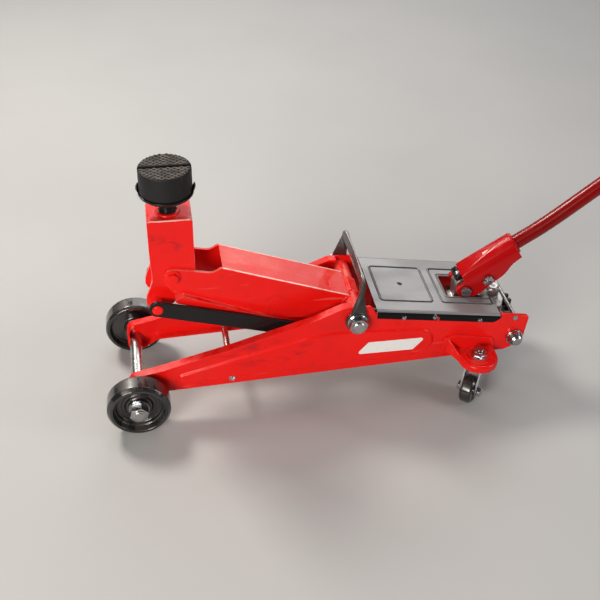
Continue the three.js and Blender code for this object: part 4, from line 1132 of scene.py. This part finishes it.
def pad_ridges(radius, top, centre_x):
    """Two crossing families of fine ribs on the pad's top, each clipped to its edge and to the slot."""
    ribs = []
    section = [(-1.15, -0.3), (-0.5, RIDGE_HEIGHT), (0.5, RIDGE_HEIGHT), (1.15, -0.3)]
    slot = PAD_SLOT / 2 + 0.6
    for lean in (math.radians(40), math.radians(-40)):
        along = Vector((math.cos(lean), math.sin(lean)))
        across = Vector((-along.y, along.x))
        count = int(radius / RIDGE_PITCH)
        for k in range(-count, count + 1):
            shift = across * k * RIDGE_PITCH
            half = math.sqrt(max(0, (radius - 1.8) ** 2 - (k * RIDGE_PITCH) ** 2))
            slot_at = sorted(((y - shift.y) / along.y for y in (-slot, slot)))
            for start, end in ((-half, slot_at[0]), (slot_at[1], half)):
                start, end = max(start, -half), min(end, half)
                if end - start < 2:
                    continue
                rings = []
                for s in (start, end):
                    c = shift + along * s
                    rings.append([(centre_x + c.x + across.x * w, c.y + across.y * w, top + h)
                                  for w, h in section])
                ribs.append(sweep("rib", rings))
    return ribs


def flared(p, x, low, high):
    """Leans the top of the cup's lugs outwards."""
    out = Vector((p.x - x, p.y, 0))
    return p + out.normalized() * 2.6 * max(0, (p.z - low) / (high - low)) ** 1.5


def make_saddle():
    x = SCREW_AXIS.x
    low, high = span("rubber_pad")
    radius = high.x - x
    top = high.z - RIDGE_HEIGHT
    profile = rounded_profile([(0, low.z), (radius - 3, low.z, 1), (radius, low.z + 5, 3),
                               (radius, top, 2.2), (0, top)])
    pad = lathe("pad", profile, "Z", (x, 0, 0), 128)
    slot = prism("slot", rectangle(x - 80, x + 80, -PAD_SLOT / 2, PAD_SLOT / 2, 0.5), "Z",
                 high.z - PAD_SLOT_DEPTH, high.z + 5)
    cut(pad, slot)
    stand_in("rubber_pad", RUBBER, "saddle", pad, *pad_ridges(radius, top, x))

    low, high = span("saddle_cup")
    radius = high.x - x
    floor_z, rim = low.z, low.z + 8
    profile = rounded_profile([
        (0, floor_z), (13, floor_z, 0.5), (14, floor_z - 0.2, 0.5), (radius - 6, floor_z, 4),
        (radius, floor_z + 5, 3), (radius, rim, 0.7), (radius - 1.5, rim, 0.7),
        (radius - 1.5, floor_z + 5, 3), (radius - 5, floor_z + 3.9, 2), (0, floor_z + 3.9)])
    dish = lathe("dish", profile, "Z", (x, 0, 0), 128)
    ears = []
    half = math.radians(15)
    for facing in (-6, 174):
        angles = [math.radians(facing) - half + 2 * half * k / 16 for k in range(17)]
        centre = Vector((x, 0))
        outline = arc(centre, radius, angles) + arc(centre, radius - 1.5, reversed(angles))
        levels = [(0, rim - 1.5 + (high.z - rim + 1.5) * k / 8) for k in range(9)]
        ear = warp(stack("ear", outline, "Z", levels), lambda p: flared(p, x, rim, high.z))
        ears.append(settle(ease_edges(ear, 0.6, 3)))
    stand_in("saddle_cup", BLACK, "saddle", dish, *ears)
    make_extension_screw()


def make_extension_screw():
    """A real helical thread: the radius follows the turn and the height together."""
    low, high = span("extension_screw")
    x = SCREW_AXIS.x
    outer = (high.x - low.x) / 2
    depth, pitch, steps = 1.9, 4.4, 48
    rows = int((high.z - low.z) / 0.55)
    rings = []
    for i in range(rows + 1):
        z = low.z + (high.z - low.z) * i / rows
        ring = []
        for k, a in enumerate(turn_angles(steps)):
            phase = (z / pitch - k / steps) % 1
            rise = min(1, max(0, 1.7 - abs(phase - 0.5) * 4.4))
            taper = min(1, (i + 1) / 4, (rows + 1 - i) / 4)
            r = outer - depth + depth * rise * taper
            ring.append((x + r * math.cos(a), r * math.sin(a), z))
        rings.append(ring)
    put(sweep("extension_screw_look", rings, 60), BLACK, "extension_screw", "extension_screw")


# ------------------------------------------------------------------ casters
def make_casters():
    for name, side in SIDES:
        swivel, _ = joint_place(f"caster_{name}_swivel")
        hub, axis = joint_place(f"caster_wheel_{name}_spin")
        low, high = span(f"caster_wheel_{name}")
        r = (high.z - low.z) / 2
        half = 9
        rim = [(4.3, half + 0.8), (7, half + 0.8, 0.5), (7.5, half - 2, 0.8), (r - 7, half - 2, 1.5),
               (r - 5, half, 0.8), (r - 2.5, half, 1.5), (r, half - 3, 2)]
        path = rounded([(out, -along, *corner) for out, along, *corner in rim] + rim[::-1], 4)
        wheel = lathe(f"caster_wheel_{name}_look", [tuple(p) for p in path], axis, hub, 96, closed=True)
        put(wheel, WHEEL, f"caster_wheel_{name}", f"caster_wheel_{name}")
        for node, angle in ((f"caster_fork_{name}", 50), (f"caster_axle_{name}", 45)):
            piece = copy_of(node, node + "_look")
            put(ease_edges(piece, 0.5, 3, angle), ZINC, f"caster_{name}", node)
        low, high = span(f"caster_king_nut_{name}")
        king = (swivel.x, swivel.y, 0)
        rim = [(0, low.z), (12, low.z), (12, low.z + 0.8), (9.8, low.z + 2), (0, low.z + 2)]
        flange = lathe("flange", rim, "Z", king, 64)
        nut = hex_head("nut", 17.5, low.z + 1.4, high.z, "Z", swivel.x, swivel.y, 0.4)
        stand_in(f"caster_king_nut_{name}", ZINC, f"caster_{name}", flange, nut)
        stud = thread("king_bolt_end_" + name, 6, 1.5, high.z - 3, high.z + 2.4, "Z", king)
        put(stud, ZINC, f"caster_{name}")
        make_caster_bracket(name, side, swivel)


def make_caster_bracket(name, side, swivel):
    top, r = BRACKET_TOP, BRACKET_R
    wall = WEB_Y + 0.3
    x, y = swivel.x, swivel.y
    front = [math.pi - side * math.pi * k / 32 for k in range(33)]
    path = [Vector((x - r - 10, side * wall)), *arc(Vector((x, y)), r, front), Vector((x + r, side * wall))]
    levels = [(0, top - 11)]
    quarter = [math.pi / 2 * k / 8 for k in range(9)]
    levels += [(5 * (1 - math.cos(a)), top - 5 + 5 * math.sin(a)) for a in quarter]
    dish = stack("dish", path, "Z", levels)
    hollow = prism("hollow", offset(path, 3), "Z", top - 25, top - 4)
    cut(dish, hollow)
    ring = bead("ring", circle(x, y, 21.5, 96), "Z", top, 1.3, 5.5)
    boss = pressing("boss", circle(x, y, 14, 72), "Z", top - 0.1, 0.5, 2.5)
    tab_path = rounded([(x - r - 22, top - 7, 3), (x + r, top - 7, 2), (x + r, top + 12, 8),
                        (x - r, top + 24, 12), (x - r - 22, top + 20, 8)])
    face = side * (wall + 3)
    tab = prism("tab", tab_path, "Y", side * wall, face, round_face=face, round_by=1.2)
    gusset_rings = []
    start = Vector((x - r - 14, side * (wall + 1.5), top + 6))
    end = Vector((x - r + 1.4, y - side * 2, top - 5.4))
    for k in range(9):
        centre = start.lerp(end, k / 8)
        height = smooth_between(12, 5, k / 8)
        gusset_rings.append(rounded_section(centre, Vector((0, 0, height)), Vector((1.6, 0.5 * side, 0))))
    gusset = sweep("gusset", gusset_rings, 45)
    stand_in(f"caster_bracket_{name}", RED, "chassis", dish, ring, boss, tab, gusset)


# ------------------------------------------------------------------ power unit and handle
def cast_shape(piece, name, voxel=1.0, rounds=6):
    """A casting: a shape with every edge and inner corner softened."""
    piece.name = name
    remesh = piece.modifiers.new("skin", "REMESH")
    remesh.mode = "VOXEL"
    remesh.voxel_size = voxel * MM
    remesh.use_smooth_shade = True
    smooth = piece.modifiers.new("soft", "SMOOTH")
    smooth.iterations = rounds
    smooth.factor = 0.5
    settle(piece)
    piece.data.shade_smooth()
    return piece


def make_power_unit():
    unit = cast_shape(copy_of("power_unit_block", "unit"), "power_unit_look", 1.2, 4)
    put(unit, CAST, "chassis", "power_unit_block")
    place = (PLUNGER.x, 0, 0)
    low, high = span("pump_plunger")
    head = low.z + 42
    profile = rounded_profile([(0, low.z), (6, low.z), (6, head, 0.5), (12, head, 0.6), (13, head + 2, 1),
                               (12, head + 4.5, 1.5), (0, high.z)])
    put(lathe("pump_plunger_look", profile, "Z", place, 64), STEEL, "pump_plunger", "pump_plunger")
    low, high = span("pump_spring")
    wire, coil, turns = 0.8, 9.2, 3.5
    rings = []
    steps = int(turns * 36)
    for i in range(steps + 1):
        a = 2 * math.pi * turns * i / steps
        out = Vector((math.cos(a), math.sin(a), 0))
        z = low.z + wire + (high.z - low.z - 2 * wire) * i / steps
        rings.append(ring_round(Vector((PLUNGER.x, 0, z)) + out * coil, out * wire, Vector((0, 0, wire)), 10))
    spring = dress(sweep("pump_spring_look", rings), STEEL, "pump_spring")
    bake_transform(spring)
    plug = rounded_profile([(0, 133), (10.2, 133, 0.5), (10.2, 134.6, 1), (7.2, 135, 0.4),
                            (7.2, 136, 0.5), (0, 136)])
    put(lathe("filler_plug", plug, "Z", (542, 0, 0), 64), STEEL, "chassis")
    cap = rounded_profile([(0, 106), (4, 106), (4, 127, 1.4), (0, 127)])
    for y in (-13, -25):
        put(lathe(f"valve_cap_{abs(y)}", cap, "Z", (560, y, 0), 40), BLACK, "chassis")
    rod = middle("rear_rod")
    radius = span("rear_rod")[1].z - rod.z
    end = [(radius, WEB_Y + 0.2), (radius + 1.2, WEB_Y + 0.4), (radius + 0.6, WEB_Y + 1.4), (0, WEB_Y + 1.9)]
    profile = [(r, -y) for r, y in reversed(end)] + end
    put(lathe("rear_rod_look", profile, "Y", (rod.x, 0, rod.z), 40), STEEL, "chassis", "rear_rod")
    stud = at_middle(middle("rear_nut_left"))
    dome = [(6.3, 0.3), (13, 0.3, 0.6), (13, 3, 0.8), (11.5, 4, 0.8), (11.5, 8, 1.5), (9, 12, 2),
            (6.5, 14.6, 0.8), (0, 15)]
    profile = rounded_profile([(r, WEB_Y + out, *corner) for r, out, *corner in dome])
    for name, side in SIDES:
        nut = lathe(f"rear_nut_{name}_look", profile, side_axis(side), stud, 64)
        put(nut, ZINC, "chassis", f"rear_nut_{name}")


HANDLE_BEND = math.radians(6.5)
BEND_START, BEND_LENGTH = 18, 60
HANDLE_R = 11


def handle_point(s):
    """The handle's middle line at distance s from the socket's mouth, and its direction there."""
    mouth, _ = joint_place("handle_twist")
    along = lambda angle: Vector((math.cos(angle), 0, math.sin(angle)))
    if s <= BEND_START:
        return mouth + along(SOCKET_TILT) * s, along(SOCKET_TILT)
    reach = min(s - BEND_START, BEND_LENGTH)
    radius = BEND_LENGTH / HANDLE_BEND
    a = reach / radius
    start = mouth + along(SOCKET_TILT) * BEND_START
    normal = Vector((-math.sin(SOCKET_TILT), 0, math.cos(SOCKET_TILT)))
    point = start + along(SOCKET_TILT) * radius * math.sin(a) + normal * radius * (1 - math.cos(a))
    direction = along(SOCKET_TILT + a)
    rest = s - BEND_START - BEND_LENGTH
    return (point + direction * rest if rest > 0 else point), direction


def tube(name, stations, steps=48):
    """A turned shape along the handle's line: stations are (distance, radius) pairs."""
    rings = []
    for s, radius in stations:
        point, direction = handle_point(s)
        up = Vector((-direction.z, 0, direction.x))
        rings.append(ring_round(point, up * radius, Vector((0, radius, 0)), steps))
    return sweep(name, rings, 45)


def make_handle():
    lower, upper = LOWER_TUBE_END, UPPER_TUBE_END
    bend = [BEND_START + BEND_LENGTH * k / 16 for k in range(17)]
    straight = [(s, HANDLE_R) for s in (-42, 0)] + [(s, HANDLE_R) for s in bend] + [(lower, HANDLE_R)]
    put(tube("handle_lower_look", straight), HANDLE_RED_SHADED, "handle", "handle_lower")
    sleeve = HANDLE_R + 2.3
    body = [(lower - 40, HANDLE_R + 0.4), (lower - 39.4, sleeve - 0.3), (lower - 38.8, sleeve),
            (upper - 0.5, sleeve), (upper, sleeve - 0.5)]
    put(tube("handle_upper_look", body), HANDLE_RED_SHADED, "handle", "handle_upper")
    grip_r = HANDLE_R + 6
    start, end = upper - 130, upper + 3
    ribs = [(start, sleeve + 0.4), (start + 1, grip_r - 1), (start + 2.5, grip_r)]
    count = 14
    for k in range(count):
        s = start + 10 + (end - start - 22) * k / (count - 1)
        ribs += [(s - 2.2, grip_r), (s - 1.2, grip_r - 1.2), (s + 1.2, grip_r - 1.2), (s + 2.2, grip_r)]
    ribs += [(end - 2.5, grip_r), (end - 0.8, grip_r - 0.9), (end, grip_r - 3)]
    put(tube("handle_grip_look", ribs), GRIP, "handle", "handle_grip")

    make_socket()
    make_socket_hardware()


def socket_outline(points):
    """Corners given along the socket's axis from its mouth, and above it."""
    mouth, _ = joint_place("handle_twist")
    c, s = math.cos(SOCKET_TILT), math.sin(SOCKET_TILT)
    return rounded([(mouth.x + along * c - up * s, mouth.z + along * s + up * c, *radius)
                    for along, up, *radius in points])


def make_socket():
    """The cast socket, cut back over its nose, where a black stop block sits between the cheeks."""
    nose_outline = socket_outline([(-92, 30), (-92, 1, 2), (-99, -2, 3), (-130, -6), (-130, 30)])
    nose = prism("nose", nose_outline, "Y", -40, 40)
    socket = copy_of("handle_socket", "socket")
    cut(socket, nose)
    socket = cast_shape(socket, "handle_socket_look", 0.7, 3)
    put(socket, SOCKET_RED, "handle_socket", "handle_socket")
    block_outline = socket_outline([(-92.6, 11, 2), (-100, 9, 3), (-104.5, 2.5, 2), (-92.6, 2.5, 1)])
    block = prism("socket_stop_block", block_outline, "Y", -12, 12)
    put(ease_edges(block, 1, 3), BLACK, "handle_socket")
    screw_at = Vector(socket_outline([(-95.5, 10.2)])[0])
    axis = Vector((-math.sin(SOCKET_TILT), 0, math.cos(SOCKET_TILT)))
    head = rounded_profile([(0, -1), (3.6, -1), (3.6, 1.6, 0.6), (1.8, 2.1, 0.3), (1.6, 1.2, 0.2),
                            (0, 1.2)])
    put(lathe("socket_stop_screw", head, axis, (screw_at.x, -5, screw_at.y), 32), ZINC, "handle_socket")
    lock = Vector(socket_outline([(-20, -9)])[0])
    screw = rounded_profile([(0, 13), (4.2, 13), (4.2, 16.6, 0.5), (2.2, 16.8, 0.3), (2.0, 15.4, 0.2),
                             (0, 15.4)])
    put(lathe("handle_lock_screw", screw, side_axis(-1), (lock.x, 0, lock.y), 32), BLACK, "handle_socket")


def castle_nut(place, side, low, high):
    """A slotted nut with a split pin through it, drawn outwards on one side."""
    nut = hex_head("nut", 15, side * low, side * high, "Y", place.x, place.z, SLOT_NUT_TURN)
    slots = []
    for k in range(3):
        turn = Matrix.Rotation(SLOT_NUT_TURN + math.pi / 6 + k * math.pi / 3, 2)
        corners = [turn @ Vector(corner) for corner in ((-12, -1.1), (12, -1.1), (12, 1.1), (-12, 1.1))]
        path = [Vector((place.x + c.x, place.z + c.y)) for c in corners]
        slots.append(prism("slot", path, "Y", side * (high - 2.6), side * (high + 3)))
    cut(nut, *slots)
    turn = Matrix.Rotation(SLOT_NUT_TURN + math.pi / 6, 2)
    rings = []
    for k in range(25):
        t = k / 24 * 2 - 1
        bend = max(0, abs(t) - 0.55) / 0.45
        local = turn @ Vector((math.copysign(min(abs(t), 0.62), t) * 13, bend * 4.5 * (1 if t > 0 else 0.4)))
        centre = Vector((place.x + local.x, side * (high - 1.2 + bend * 2.2), place.z + local.y))
        rings.append(ring_round(centre, Vector((0, PIN_WIRE, 0)), Vector((0, 0, PIN_WIRE)), 10))
    return [nut, sweep("split_pin", rings)]


def make_socket_hardware():
    place = at_middle(SOCKET_PIVOT)
    high = span("socket_pivot_pin")[1].y
    head = hex_head("head", 14, -PIN_HEAD_Y, -29, "Y", place.x, place.z, 0.2, both_ends=False)
    nut = hex_head("nut", 14, PIN_HEAD_Y, 29, "Y", place.x, place.z, 0.4)
    end = thread("end", 6, 1.5, 26, high, "Y", place)
    stand_in("socket_pivot_pin", ZINC, "handle_socket", bar(6, 24, place, 48), head, nut, end)
    place = at_middle(ROLLER)
    profile = rounded_profile([(0, -14), (8, -14, 0.8), (8, 14, 0.8), (0, 14)])
    roller = lathe("roller", profile, "Y", place, 64)
    ends = [part for _, side in SIDES for part in castle_nut(place, side, PIN_HEAD_Y, 28)]
    stand_in("socket_roller", ZINC, "handle_socket", roller, bar(5, 25, place, 48), *ends)


# ------------------------------------------------------------------ nodes shown as they are
def dress_remaining():
    """Frame nodes that are shown as they are get their finish and smooth rounds."""
    looks = {"red_paint": RED, "black_paint": BLACK, "grey_paint": GREY, "zinc": ZINC, "cast": CAST,
             "wheel": WHEEL, "pad_rubber": RUBBER, "grip_rubber": GRIP}
    slots = {part["node"]: part["material_slot"] for part in frame["record"]["subparts"]}
    for node, piece in frame["nodes"].items():
        if piece.hide_render:
            continue
        soften(piece, 32)
        piece.data.materials.clear()
        piece.data.materials.append(looks[slots[node]][0])


make_camera()
make_studio()
make_front_end()
for side_name, outwards in SIDES:
    side_plate(side_name, outwards)
    side_mark(side_name, outwards)
make_cover()
make_carry_handle()
make_pivot()
make_lift()
make_saddle()
make_casters()
make_power_unit()
make_handle()
dress_remaining()
